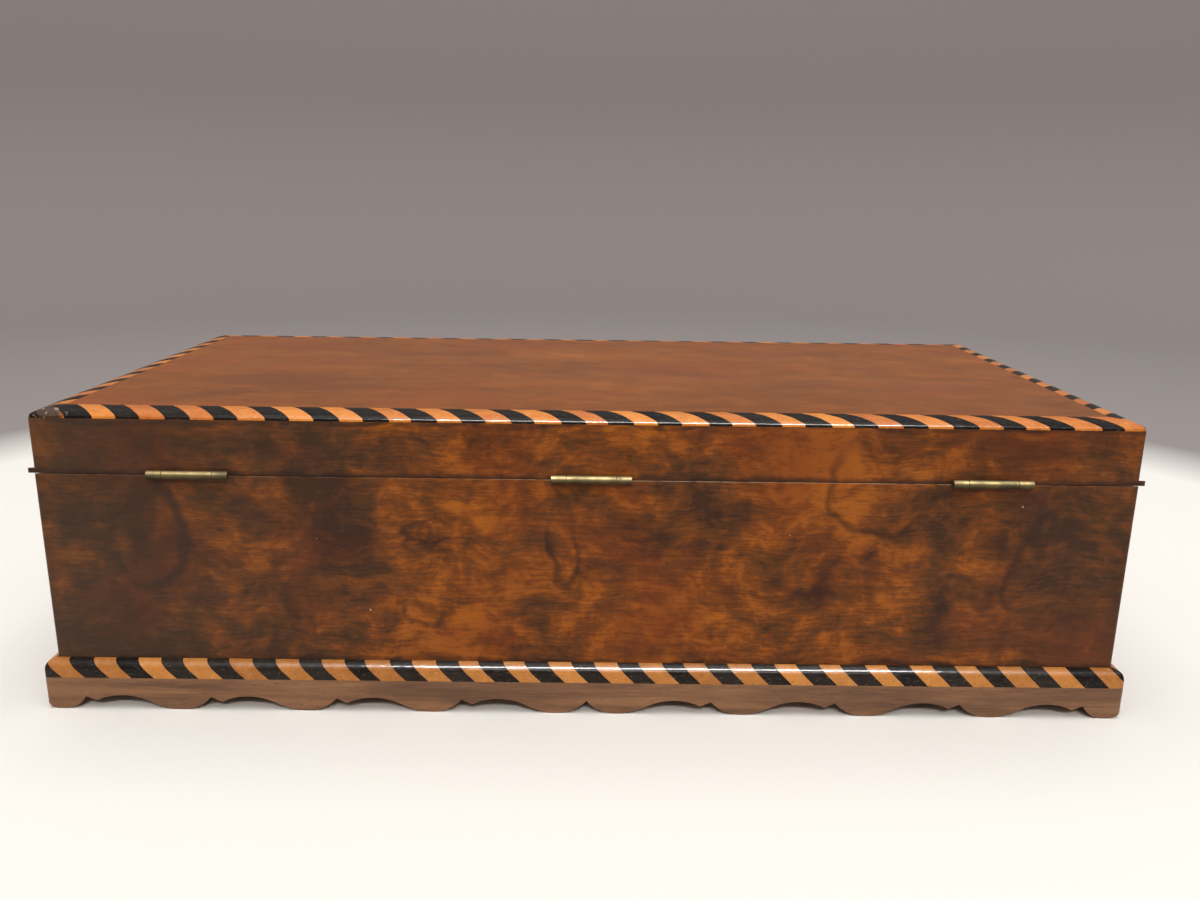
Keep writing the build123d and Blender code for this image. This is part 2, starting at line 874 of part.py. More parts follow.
def lid_shell():
    """Mitred lid walls with a lip strip under them and a top board let into their rebate."""
    lip_top = seam_gap + lip_height
    above_lip = slope_slab(lip_top, 2 * total_height)
    lip_slab = slope_slab(seam_gap, lip_top)
    lip_plan = ring_plan(
        (half_width + lip_projection, -half_depth - lip_projection, half_depth),
        (inner_half_width, -inner_half_depth, inner_half_depth),
    )
    edge_width = half_width - lid_wall_edge
    edge_depth = half_depth - lid_wall_edge
    edge_plan = ring_plan(
        (half_width, -half_depth, half_depth),
        (edge_width, -edge_depth, edge_depth),
    )
    tongue_top = lid_board_height + lid_board_tongue
    hinge_room = lid_hinge_recess(1)
    link_room = link_plate_room()
    nodes = {}
    for side, plan in wall_plan.items():
        board = prism_along_z(plan, 0, lid_board_height) & above_lip
        board += prism_along_z(edge_plan[side], lid_board_height, tongue_top)
        lip = prism_along_z(lip_plan[side], 0, lid_board_height) & lip_slab
        if side == "back":
            board = cut_away(board, hinge_room)
            lip = cut_away(lip, hinge_room)
        if side == "front":
            board = cut_away(board, link_room)
            lip = cut_away(lip, link_room)
        nodes[f"lid_{side}_board"] = board
        nodes[f"lid_lip_{side}"] = lip
    tongue = box_between(
        (-edge_width, -edge_depth, lid_board_height), (edge_width, edge_depth, tongue_top)
    )
    inset_width = half_width - lid_band_width
    inset_depth = half_depth - lid_band_width
    panel = box_between(
        (-inset_width, -inset_depth, lid_board_height), (inset_width, inset_depth, total_height)
    )
    nodes["lid_top_board"] = tongue + panel
    nodes["lid_lining"] = box_between(
        (-inner_half_width, -inner_half_depth, lid_board_height - lining_thickness),
        (inner_half_width, inner_half_depth, lid_board_height),
    )
    return nodes


# ---------------------------------------------------------------- writing surface

rail_back_face = -inner_half_depth + front_rail_width * math.cos(slope)
flap_length = (flap_axis_y - rail_back_face) / math.cos(slope) - flap_edge_gap


def across_slope(along, drop):
    """(y, z) at a distance up the slope from the flap's axis and a depth under its surface."""
    y = flap_axis_y + along * math.cos(slope) + drop * math.sin(slope)
    z = slope_height(flap_axis_y, surface_drop) + along * math.sin(slope) - drop * math.cos(slope)
    return (y, z)


def writing_flap():
    """Hinged board with a sunk bed for the leather."""
    half = inner_half_width - flap_side_gap
    board = prism_along_x(
        [
            across_slope(-flap_length, 0),
            across_slope(-flap_length, flap_thickness),
            across_slope(-flap_edge_gap / 2, flap_thickness),
            across_slope(-flap_edge_gap / 2, 0),
        ],
        -half,
        half,
    )
    return cut_away(board - leather(), flap_hinge_recess(-1))


def leather():
    """Leather skiver let into the flap, flush with its border."""
    length = flap_length - 2 * leather_border
    width = 2 * (inner_half_width - flap_side_gap - leather_border)
    face = RectangleRounded(width, length, leather_corner)
    sheet = extrude(face, -leather_thickness)
    return flap_axis_plane * Pos(0, -flap_length / 2, 0) * sheet


def slope_rails():
    """Fixed rails at the front and back of the flap, and the ledges that it rests on."""
    rail_depth = flap_thickness + flap_seat_gap
    front_wall = -inner_half_depth
    front_rail = prism_along_x(
        [
            (front_wall, slope_height(front_wall, surface_drop)),
            (front_wall, slope_height(front_wall, support_drop)),
            across_slope(-flap_length - flap_edge_gap, rail_depth),
            across_slope(-flap_length - flap_edge_gap, 0),
        ],
        -inner_half_width,
        inner_half_width,
    )
    scoop = Pos(0, -flap_length - flap_edge_gap, -rail_depth) * extrude(
        Circle(finger_scoop_radius), 2 * rail_depth
    )
    hinge_rail = prism_along_x(
        [
            across_slope(flap_edge_gap / 2, 0),
            across_slope(flap_edge_gap / 2, rail_depth),
            (divider_back, slope_height(divider_back, support_drop)),
            (divider_back, slope_height(divider_back, surface_drop)),
        ],
        -inner_half_width,
        inner_half_width,
    )
    front_ledge_back = front_wall + front_ledge_width
    front_ledge = ledge(front_wall, front_ledge_back, -inner_half_width, inner_half_width)
    finger_room = Pos(0, -flap_length - flap_edge_gap, -2 * rail_depth) * extrude(
        Circle(finger_scoop_radius), 3 * rail_depth
    )
    left = ledge(front_ledge_back, divider_front, -inner_half_width, ledge_width - inner_half_width)
    right = ledge(front_ledge_back, divider_front, inner_half_width - ledge_width, inner_half_width)
    return {
        "front_rail": front_rail - flap_axis_plane * scoop,
        "hinge_rail": cut_away(hinge_rail, flap_hinge_recess(1)),
        "flap_ledge_front": front_ledge - flap_axis_plane * finger_room,
        "flap_ledge_left": left,
        "flap_ledge_right": right,
    }


def ledge(y_low, y_high, x_low, x_high):
    """Strip under the writing surface, following the slope."""
    low = support_drop + ledge_thickness
    outline = [
        (y_low, slope_height(y_low, support_drop)),
        (y_low, slope_height(y_low, low)),
        (y_high, slope_height(y_high, low)),
        (y_high, slope_height(y_high, support_drop)),
    ]
    return prism_along_x(outline, x_low, x_high)


# ---------------------------------------------------------------- rear compartment

bay_width = inkwell_width + 2 * inkwell_gap
partition_outer = inner_half_width - bay_width
partition_inner = partition_outer - partition
tray_end = partition_inner + tray_step
tray_top = slope_height(divider_back, partition_drop) - tray_drop
tray_low = tray_top - tray_thickness
shelf_low = case_floor + shelf_height
shelf_top = shelf_low + shelf_thickness
inkwell_x = partition_outer + bay_width / 2
inkwell_y = (divider_back + inner_half_depth) / 2


def shelf(side):
    """Shelf under an inkwell, held in grooves in the wall and in the partition."""
    near = partition_outer - shelf_groove
    far = inner_half_width + shelf_groove
    return box_between(
        (min(side * near, side * far), divider_back, shelf_low),
        (max(side * near, side * far), inner_half_depth, shelf_top),
    )


def partition_board(side):
    """Upright board beside an inkwell, stepped to carry the end of the pen tray."""
    low, high = sorted((side * partition_inner, side * partition_outer))
    outline = [
        (divider_back, case_floor),
        (inner_half_depth, case_floor),
        (inner_half_depth, slope_height(inner_half_depth, partition_drop)),
        (divider_back, slope_height(divider_back, partition_drop)),
    ]
    board = prism_along_x(outline, low, high)
    step_low, step_high = sorted((side * partition_inner, side * tray_end))
    step = box_between((step_low, divider_back, tray_low), (step_high, inner_half_depth, total_height))
    return board - step - shelf(side)


def pen_tray():
    """Tray carved with one long round-ended trough and a dish for nibs at each end."""
    tray = box_between((-tray_end, divider_back, tray_low), (tray_end, inner_half_depth, tray_top))
    straight = pen_trough_length / 2 - pen_trough_radius
    axis_height = tray_top + pen_trough_radius - pen_trough_depth
    tray -= rod(pen_trough_radius, -straight, straight, inkwell_y, axis_height)
    for side in (-1, 1):
        tray -= Pos(side * straight, inkwell_y, axis_height) * Sphere(pen_trough_radius)
        dish_x = side * (pen_trough_length / 2 + nib_well_gap + nib_well_radius)
        dish_height = tray_top + nib_well_radius - nib_well_depth
        tray -= Pos(dish_x, inkwell_y, dish_height) * Sphere(nib_well_radius)
    return tray


def rear_compartment():
    """Divider, partitions, shelves and pen tray behind the writing surface."""
    divider_board = prism_along_x(
        [
            (divider_front, case_floor),
            (divider_back, case_floor),
            (divider_back, slope_height(divider_back, support_drop)),
            (divider_front, slope_height(divider_front, support_drop)),
        ],
        -inner_half_width,
        inner_half_width,
    )
    nodes = {"divider_board": divider_board, "pen_tray": pen_tray()}
    for name, side in (("left", -1), ("right", 1)):
        nodes[f"inkwell_partition_{name}"] = partition_board(side)
        nodes[f"inkwell_shelf_{name}"] = shelf(side)
    return nodes


# ---------------------------------------------------------------- inkwells

collar_inner = inkwell_neck_radius + collar_cement
collar_outer = collar_inner + collar_wall
neck_low = shelf_top + inkwell_body_height
collar_top = neck_low + inkwell_neck_height
cap_low = collar_top + cap_seat_gap
cap_axis_height = collar_top + cap_seat_gap / 2


def inkwell_glass():
    """Thick glass well, square with bevelled shoulders and a short round neck."""
    body = Pos(0, 0, shelf_top) * Box(
        inkwell_width,
        inkwell_width,
        inkwell_body_height,
        align=(Align.CENTER, Align.CENTER, Align.MIN),
    )
    body = chamfer(body.edges().filter_by(Axis.Z), inkwell_edge_chamfer)
    body = chamfer(body.faces().sort_by(Axis.Z)[-1].edges(), inkwell_shoulder)
    neck = Pos(0, 0, neck_low) * extrude(Circle(inkwell_neck_radius), inkwell_neck_height)
    bore_length = inkwell_body_height + inkwell_neck_height
    bore = Pos(0, 0, shelf_top + inkwell_floor) * extrude(Circle(inkwell_bore_radius), bore_length)
    return body + neck - bore


def cap_barrel(x_low, x_high):
    """One knuckle of the cap's hinge, bored for the pin."""
    return rod(cap_barrel_radius, x_low, x_high, cap_hinge_offset, cap_axis_height)


def inkwell_collar():
    """Brass ring on the neck with the two outer knuckles of the cap's hinge."""
    ring = Pos(0, 0, neck_low) * extrude(
        Circle(collar_outer) - Circle(collar_inner), inkwell_neck_height
    )
    start = cap_knuckle / 2 + knuckle_gap
    for side in (-1, 1):
        low, high = sorted((side * start, side * (start + cap_side_knuckle)))
        arm = box_between(
            (low, 0, collar_top - cap_barrel_radius), (high, cap_hinge_offset, collar_top)
        )
        arm -= extrude(Circle(collar_inner + collar_wall / 2), 2 * total_height)
        ring += arm + cap_barrel(low, high)
    return ring - rod(
        cap_pin_radius + pin_clearance, -collar_outer, collar_outer, cap_hinge_offset, cap_axis_height
    )


def inkwell_cap():
    """Domed brass cap, hollow underneath, with its knuckle and thumb piece."""
    top = cap_low + cap_skirt + cap_dome
    outer = [
        Line((0, cap_low), (collar_outer, cap_low)),
        Line((collar_outer, cap_low), (collar_outer, cap_low + cap_skirt)),
        TangentArc((0, top), (collar_outer, cap_low + cap_skirt), tangent=(1, 0)),
        Line((0, top), (0, cap_low)),
    ]
    dome = revolve(face_of_lines(Plane.XZ, outer), Axis.Z)
    hollow = Pos(0, 0, cap_low) * extrude(Circle(collar_outer - cap_wall), cap_skirt - cap_wall)
    half = cap_knuckle / 2
    arm = box_between((-half, 0, cap_low), (half, cap_hinge_offset, cap_low + cap_barrel_radius))
    arm -= extrude(Circle(collar_outer - cap_wall / 2), 2 * total_height)
    thumb = box_between(
        (-half, -collar_outer - cap_thumb_length, cap_low),
        (half, 0, cap_low + cap_wall),
    )
    thumb = thumb - extrude(Circle(collar_outer - cap_wall / 2), 2 * total_height)
    cap = dome - hollow + arm + thumb + cap_barrel(-half, half)
    return cap - rod(
        cap_pin_radius + pin_clearance, -collar_outer, collar_outer, cap_hinge_offset, cap_axis_height
    )


def inkwells():
    """A pair of inkwells in their bays."""
    pin_reach = cap_knuckle / 2 + knuckle_gap + cap_side_knuckle
    pin = rod(cap_pin_radius, -pin_reach, pin_reach, cap_hinge_offset, cap_axis_height)
    nodes = {}
    pins = []
    for name, side in (("left", -1), ("right", 1)):
        place = Pos(side * inkwell_x, inkwell_y, 0)
        nodes[f"inkwell_glass_{name}"] = place * inkwell_glass()
        nodes[f"inkwell_collar_{name}"] = place * inkwell_collar()
        nodes[f"inkwell_cap_{name}"] = place * inkwell_cap()
        pins.append(place * pin)
    nodes["inkwell_cap_pins"] = Compound(children=pins)
    return nodes


# ---------------------------------------------------------------- assembly

hinge_nodes, lid_hinge_screws, case_hinge_screws = lid_hinges()
flap_hinge_nodes, flap_screws, rail_screws = flap_hinges()
lock_nodes, link_plate_screws, lock_screws = lock()

nodes = {}
nodes.update(plinth())
nodes.update(banding("plinth_banding", plinth_band_blocks, plinth_half_width, plinth_half_depth))
nodes.update(case_shell())
nodes.update(lid_shell())
nodes.update(banding("lid_banding", lid_band_blocks, half_width, half_depth))
nodes.update(hinge_nodes)
nodes["writing_flap"] = writing_flap()
nodes["flap_leather"] = leather()
nodes.update(slope_rails())
nodes.update(flap_hinge_nodes)
nodes.update(rear_compartment())
nodes.update(inkwells())
nodes.update(lock_nodes)
nodes["lid_screws"] = Compound(children=lid_hinge_screws + link_plate_screws)
nodes["case_screws"] = Compound(children=case_hinge_screws + rail_screws + lock_screws)
nodes["flap_screws"] = Compound(children=flap_screws)

for name, shape in nodes.items():
    export_step(shape, f"parts/{name}.step")

lid_axis = lid_axis_plane.origin
flap_axis = flap_axis_plane.origin
print(f"lid hinge axis y {lid_axis.Y:.4f} z {lid_axis.Z:.4f}, opens {lid_opening} degrees")
print(f"flap hinge axis y {flap_axis.Y:.4f} z {flap_axis.Z:.4f}")
print(f"cap hinge axis x {inkwell_x:.4f} y {inkwell_y + cap_hinge_offset:.4f} z {cap_axis_height:.4f}")
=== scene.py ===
"""Looks of a walnut writing slope: finishes, eased boards, inlaid bandings and a plain studio."""

import json
import logging
import math
from dataclasses import dataclass
from enum import Enum

import bmesh
import bpy
import numpy as np
from mathutils import Matrix, Vector


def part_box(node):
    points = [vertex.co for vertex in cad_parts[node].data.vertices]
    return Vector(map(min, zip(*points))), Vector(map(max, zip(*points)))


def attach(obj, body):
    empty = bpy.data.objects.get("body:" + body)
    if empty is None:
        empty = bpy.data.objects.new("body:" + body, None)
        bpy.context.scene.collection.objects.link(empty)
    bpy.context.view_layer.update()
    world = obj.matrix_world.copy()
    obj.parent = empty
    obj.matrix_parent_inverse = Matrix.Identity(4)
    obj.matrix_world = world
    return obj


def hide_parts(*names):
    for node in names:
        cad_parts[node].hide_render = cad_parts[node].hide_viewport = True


LOG = logging.getLogger("writing_slope")
MM = 0.001
# Points closer than this are one point, in metres.
MERGED = 1e-6
# Edges that turn by more than these angles are arrises, on boards and on banding blocks.
ARRIS_ANGLE = math.radians(42)
BLOCK_ARRIS_ANGLE = math.radians(38)
# Settings of a MapRange node that eases from one value to another.
SMOOTHLY = {"interpolation_type": "SMOOTHSTEP", "clamp": False}
SIDES = ("back", "front", "left", "right")

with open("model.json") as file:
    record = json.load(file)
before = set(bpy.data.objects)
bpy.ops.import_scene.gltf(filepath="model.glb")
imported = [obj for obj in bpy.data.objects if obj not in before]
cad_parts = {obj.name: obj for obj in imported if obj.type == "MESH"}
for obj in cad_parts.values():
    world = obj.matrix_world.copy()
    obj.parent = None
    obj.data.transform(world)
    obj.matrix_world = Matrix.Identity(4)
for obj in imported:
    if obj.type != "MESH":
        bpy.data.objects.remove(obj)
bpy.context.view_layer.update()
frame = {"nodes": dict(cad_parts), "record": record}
NODES: dict[str, bpy.types.Object] = frame["nodes"]
BODY_OF: dict[str, str] = {
    node: body for body, nodes in frame["record"]["behaviour"]["bodies"].items() for node in nodes
}


# ------------------------------------------------------------------ colours and nodes

def linear(hex_colour: str) -> tuple[float, float, float, float]:
    """Turns an sRGB hex colour into linear red, green, blue and an alpha of 1.

    Args:
        hex_colour: Six hex digits, with or without a leading #.

    Returns:
        Linear colour with alpha.
    """
    digits = hex_colour.lstrip("#")
    shares = [int(digits[start : start + 2], 16) / 255 for start in (0, 2, 4)]
    red, green, blue = (c / 12.92 if c <= 0.04045 else ((c + 0.055) / 1.055) ** 2.4 for c in shares)
    return (red, green, blue, 1.0)


def per_metre(size_mm: float) -> float:
    """Scale of a texture whose features are this many millimetres across."""
    return 1000.0 / size_mm


class Shading:
    """A material under construction: its node tree, its shader and the node adder."""

    def __init__(self, name: str, **shader_values: float) -> None:
        """Starts a material with a principled shader.

        Args:
            name: Name of the material.
            **shader_values: Constants for the shader's sockets; _ stands for a space.
        """
        self.material = bpy.data.materials.new(name)
        self.material.use_nodes = True
        self.tree = self.material.node_tree
        self.shader = self.tree.nodes["Principled BSDF"]
        for key, value in shader_values.items():
            self.shader.inputs[key.replace("_", " ")].default_value = value

    def add(
        self,
        kind: str,
        inputs: dict | tuple = (),
        take: str | None = None,
        stops: tuple = (),
        **settings: object,
    ) -> bpy.types.NodeSocket:
        """Adds one node with its settings and links.

        Args:
            kind: Node type without its ShaderNode prefix.
            inputs: Constants, or the sockets that feed the node, by socket name or in order.
            take: Name of the output wanted; the first live one if it is left out.
            stops: Places and colours or values of a colour ramp.
            **settings: Attributes of the node.

        Returns:
            The wanted output socket.
        """
        node = self.tree.nodes.new("ShaderNode" + kind)
        for key, value in settings.items():
            setattr(node, key, value)
        live = [socket for socket in node.inputs if socket.enabled]
        for key, value in inputs.items() if isinstance(inputs, dict) else enumerate(inputs):
            socket = live[key] if isinstance(key, int) else next(s for s in live if s.name == key)
            if isinstance(value, bpy.types.NodeSocket):
                self.tree.links.new(value, socket)
            else:
                socket.default_value = value
        for index, (place, colour) in enumerate(stops):
            ramp = node.color_ramp
            stop = ramp.elements[index] if index < 2 else ramp.elements.new(place)
            stop.position = place
            stop.color = colour if isinstance(colour, tuple) else (colour, colour, colour, 1.0)
        live_outputs = [socket for socket in node.outputs if socket.enabled]
        return live_outputs[0] if take is None else next(s for s in live_outputs if s.name == take)

    def join(
        self, colour: object, roughness: object, height: object, depth_mm: float
    ) -> bpy.types.Material:
        """Links the finished patterns to the shader.

        Args:
            colour: Base colour socket.
            roughness: Roughness socket or number.
            height: Height socket, 0 to 1, or None for a surface with no relief.
            depth_mm: Real depth of the relief.

        Returns:
            The finished material.
        """
        for name, value in (("Base Color", colour), ("Roughness", roughness)):
            if isinstance(value, bpy.types.NodeSocket):
                self.tree.links.new(value, self.shader.inputs[name])
            else:
                self.shader.inputs[name].default_value = value
        if height is not None:
            bump = self.add("Bump", {"Height": height, "Distance": depth_mm * MM, "Strength": 1.0})
            self.tree.links.new(bump, self.shader.inputs["Normal"])
        return self.material


class Grain(Enum):
    """The way that a board's grain runs; its value turns the pattern's X axis onto it."""

    ACROSS = (0.0, 0.0, 0.0)
    FRONT_TO_BACK = (0.0, 0.0, math.pi / 2)


# ------------------------------------------------------------------ finishes

@dataclass(frozen=True)
class FigureMark:
    """One mark of a veneer's figure: a dark oval, a growth line round it, or both.

    Sizes are millimetres along X and up the sheet. The line is strongest towards the angle
    `faces`, measured in the sheet from +X, and fades on the far side as `broken` nears 1.
    """

    x: float
    up: float
    half_width: float
    half_height: float
    turn: float = 0.0
    core: float = 0.0
    rim: float = 0.0
    rim_mm: float = 1.4
    faces: float = 0.0
    broken: float = 0.0


BACK_FIGURE = (
    # The eye at the user's right, with the long dark line on its inner side.
    FigureMark(209, 82, 6, 6, core=0.75),
    FigureMark(205, 89, 11, 15, 0.1, core=0.45),
    FigureMark(204, 85, 18, 26, 0.1, rim=0.9, rim_mm=2.2, faces=3.2, broken=0.75),
    FigureMark(201, 52, 3, 11, -0.1, core=0.55),
    FigureMark(217, 45, 4, 4, core=0.5),
    FigureMark(238, 88, 11, 36, core=0.5),
    FigureMark(160, 99, 15, 4, 0.1, core=0.45),
    FigureMark(173, 75, 11, 6, core=0.4),
    FigureMark(145, 50, 14, 8, core=0.22),
    # The round shadow and the curls between the first two hinges.
    FigureMark(114, 93, 17, 14, 0.1, core=0.62, rim=0.35, faces=-2.2, broken=0.8),
    FigureMark(111, 109, 13, 4, core=0.3),
    FigureMark(80, 90, 6, 4, 0.2, rim=0.75, rim_mm=1.2, faces=0.6, broken=0.5),
    FigureMark(82, 84, 5, 3.5, rim=0.6, rim_mm=1.0, faces=0.2, broken=0.4),
    FigureMark(72, 90, 8, 6, core=0.4, rim=0.4, rim_mm=1.0),
    FigureMark(64, 83, 10, 3, -0.2, rim=0.55, rim_mm=0.9, faces=1.6, broken=0.7),
    FigureMark(70, 77, 9, 7, core=0.45),
    FigureMark(55, 108, 2.5, 9, 0.35, core=0.45),
    FigureMark(103, 55, 15, 3, 0.1, core=0.5),
    FigureMark(76, 50, 9, 9, rim=0.6, rim_mm=1.3, faces=-1.6, broken=0.8),
    FigureMark(66, 56, 3, 7, -0.4, core=0.35),
    FigureMark(95, 33, 16, 8, 0.2, core=0.25),
    # The long loop under the centre hinge and the shadow beside it.
    FigureMark(11, 83, 6.5, 20, 0.05, rim=0.75, rim_mm=1.3, faces=-1.6, broken=0.6),
    FigureMark(17, 84, 2.5, 7, core=0.5),
    FigureMark(32, 102, 16, 6, core=0.3),
    FigureMark(-8, 75, 13, 5, -0.35, core=0.45),
    FigureMark(-31, 87, 14, 12, core=0.65),
    FigureMark(-24, 97, 6, 6, core=0.4),
    FigureMark(-49, 111, 2.5, 9, core=0.5),
    FigureMark(-66, 104, 7, 11, rim=0.45, rim_mm=1.2, faces=-1.6, broken=0.7),
    FigureMark(-50, 84, 3, 6, 0.3, core=0.4),
    FigureMark(-72, 80, 2, 8, 0.4, core=0.35),
    # The pale patch between the centre and the left hinge, and the lines that bound it.
    FigureMark(-134, 113, 25, 23, rim=0.7, rim_mm=2.0, faces=-0.9, broken=0.9),
    FigureMark(-103, 78, 15, 15, rim=0.5, rim_mm=2.0, faces=-1.6, broken=0.9),
    FigureMark(-72, 64, 9, 2.5, core=0.6),
    FigureMark(-108, 61, 27, 5, core=0.45),
    FigureMark(-70, 42, 14, 9, rim=0.35, rim_mm=1.0, faces=1.0, broken=0.7),
    FigureMark(-134, 75, 5, 19, core=0.5),
    FigureMark(-162, 97, 6, 17, core=0.5),
    FigureMark(-168, 58, 10, 9, core=0.75),
    FigureMark(-155, 109, 13, 4, core=0.4),
    FigureMark(-189, 86, 7, 6, core=0.45),
    FigureMark(-193, 62, 8, 6, core=0.55),
    FigureMark(-223, 74, 24, 22, core=0.18, rim=0.6, rim_mm=1.8, faces=0.3, broken=0.75),
    FigureMark(-226, 46, 17, 8, core=0.35),
    FigureMark(-251, 80, 6, 45, core=0.5),
    # On the lid.
    FigureMark(200, 134, 16, 5, core=0.35),
    FigureMark(150, 128, 10, 8, core=0.25),
    FigureMark(90, 126, 9, 10, core=0.35),
    FigureMark(57, 131, 2.5, 13, 0.6, core=0.45),
    FigureMark(40, 133, 8, 9, rim=0.35, rim_mm=1.2, faces=-0.6, broken=0.8),
    FigureMark(-62, 131, 9, 12, rim=0.35, rim_mm=1.4, faces=0.4, broken=0.8),
    FigureMark(-80, 129, 3, 12, core=0.35),
    FigureMark(-135, 133, 15, 6, core=0.4),
    FigureMark(-180, 130, 8, 9, core=0.3),
    FigureMark(-235, 132, 9, 10, core=0.4),
    # Dark glue lines with painted shade under the lid's banding and over the plinth's, and along the seam.
    FigureMark(0, 142, 2000, 1.5, core=0.75),
    FigureMark(0, 24.5, 2000, 2.0, core=0.8),
)

CASE_WIDTH_MM = 508
# The lid's most knocked corner, in metres.
KNOCKED_CORNER = (0.2545, 0.1210, 0.141)


@dataclass(frozen=True)
class ToneRun:
    """How light the sheet is from its left end to its right: places in mm and steps of tone."""

    places: tuple[float, ...] = (-CASE_WIDTH_MM / 2, CASE_WIDTH_MM / 2)
    steps: tuple[float, ...] = (0, 0)

    def stops(self) -> tuple[tuple[float, float], ...]:
        """Stops of a colour ramp over the width of the box, where a half stands for no change.

        Returns:
            Places and values, from 0 to 1.
        """
        start, width = self.places[0], self.places[-1] - self.places[0]
        return tuple(
            ((place - start) / width, 0.5 + 2.5 * step) for place, step in zip(self.places, self.steps)
        )


# The tone runs darken towards both ends of the box: partly the veneer's own tone, partly painted shade.
CASE_UPPER_TONE = ToneRun(
    (-254, -214, -188, -166, -150, -130, -95, -60, -30, 10, 60, 88, 112, 160, 205, 254),
    (-0.05, -0.08, 0.03, -0.05, 0.04, 0.04, 0.11, 0.01)
    + (-0.06, -0.02, 0.02, 0.07, -0.07, -0.03, -0.09, -0.08),
)
CASE_LOWER_TONE = ToneRun(
    (-254, -230, -185, -168, -152, -110, -70, -20, 30, 100, 150, 205, 254),
    (-0.06, -0.06, 0.03, -0.06, 0.07, 0.01, 0.0, 0.04, 0.04, 0.06, -0.01, -0.06, -0.08),
)
LID_TONE = ToneRun(
    (-254, -235, -190, -140, -100, -62, -40, 0, 60, 150, 254),
    (-0.05, -0.03, 0.0, 0.0, 0.09, 0.02, 0.06, 0.04, 0.0, -0.03, -0.07),
)

# A mark fades out at 1.4 times its size, and one that crosses the seam shows on both sheets.
SEAM_MM = 116.5
CASE_FIGURE = tuple(mark for mark in BACK_FIGURE if mark.up - 1.4 * mark.half_height < SEAM_MM)
LID_FIGURE = tuple(mark for mark in BACK_FIGURE if mark.up + 1.4 * mark.half_height > SEAM_MM)

TOP_FIGURE = (
    FigureMark(-222, 84, 12, 0.7, core=0.8),
    FigureMark(-150, -60, 30, 12, 0.2, core=0.25),
    FigureMark(-60, 10, 50, 8, core=0.2),
    FigureMark(90, -50, 45, 14, core=0.2),
    FigureMark(180, 60, 40, 25, core=0.3),
)


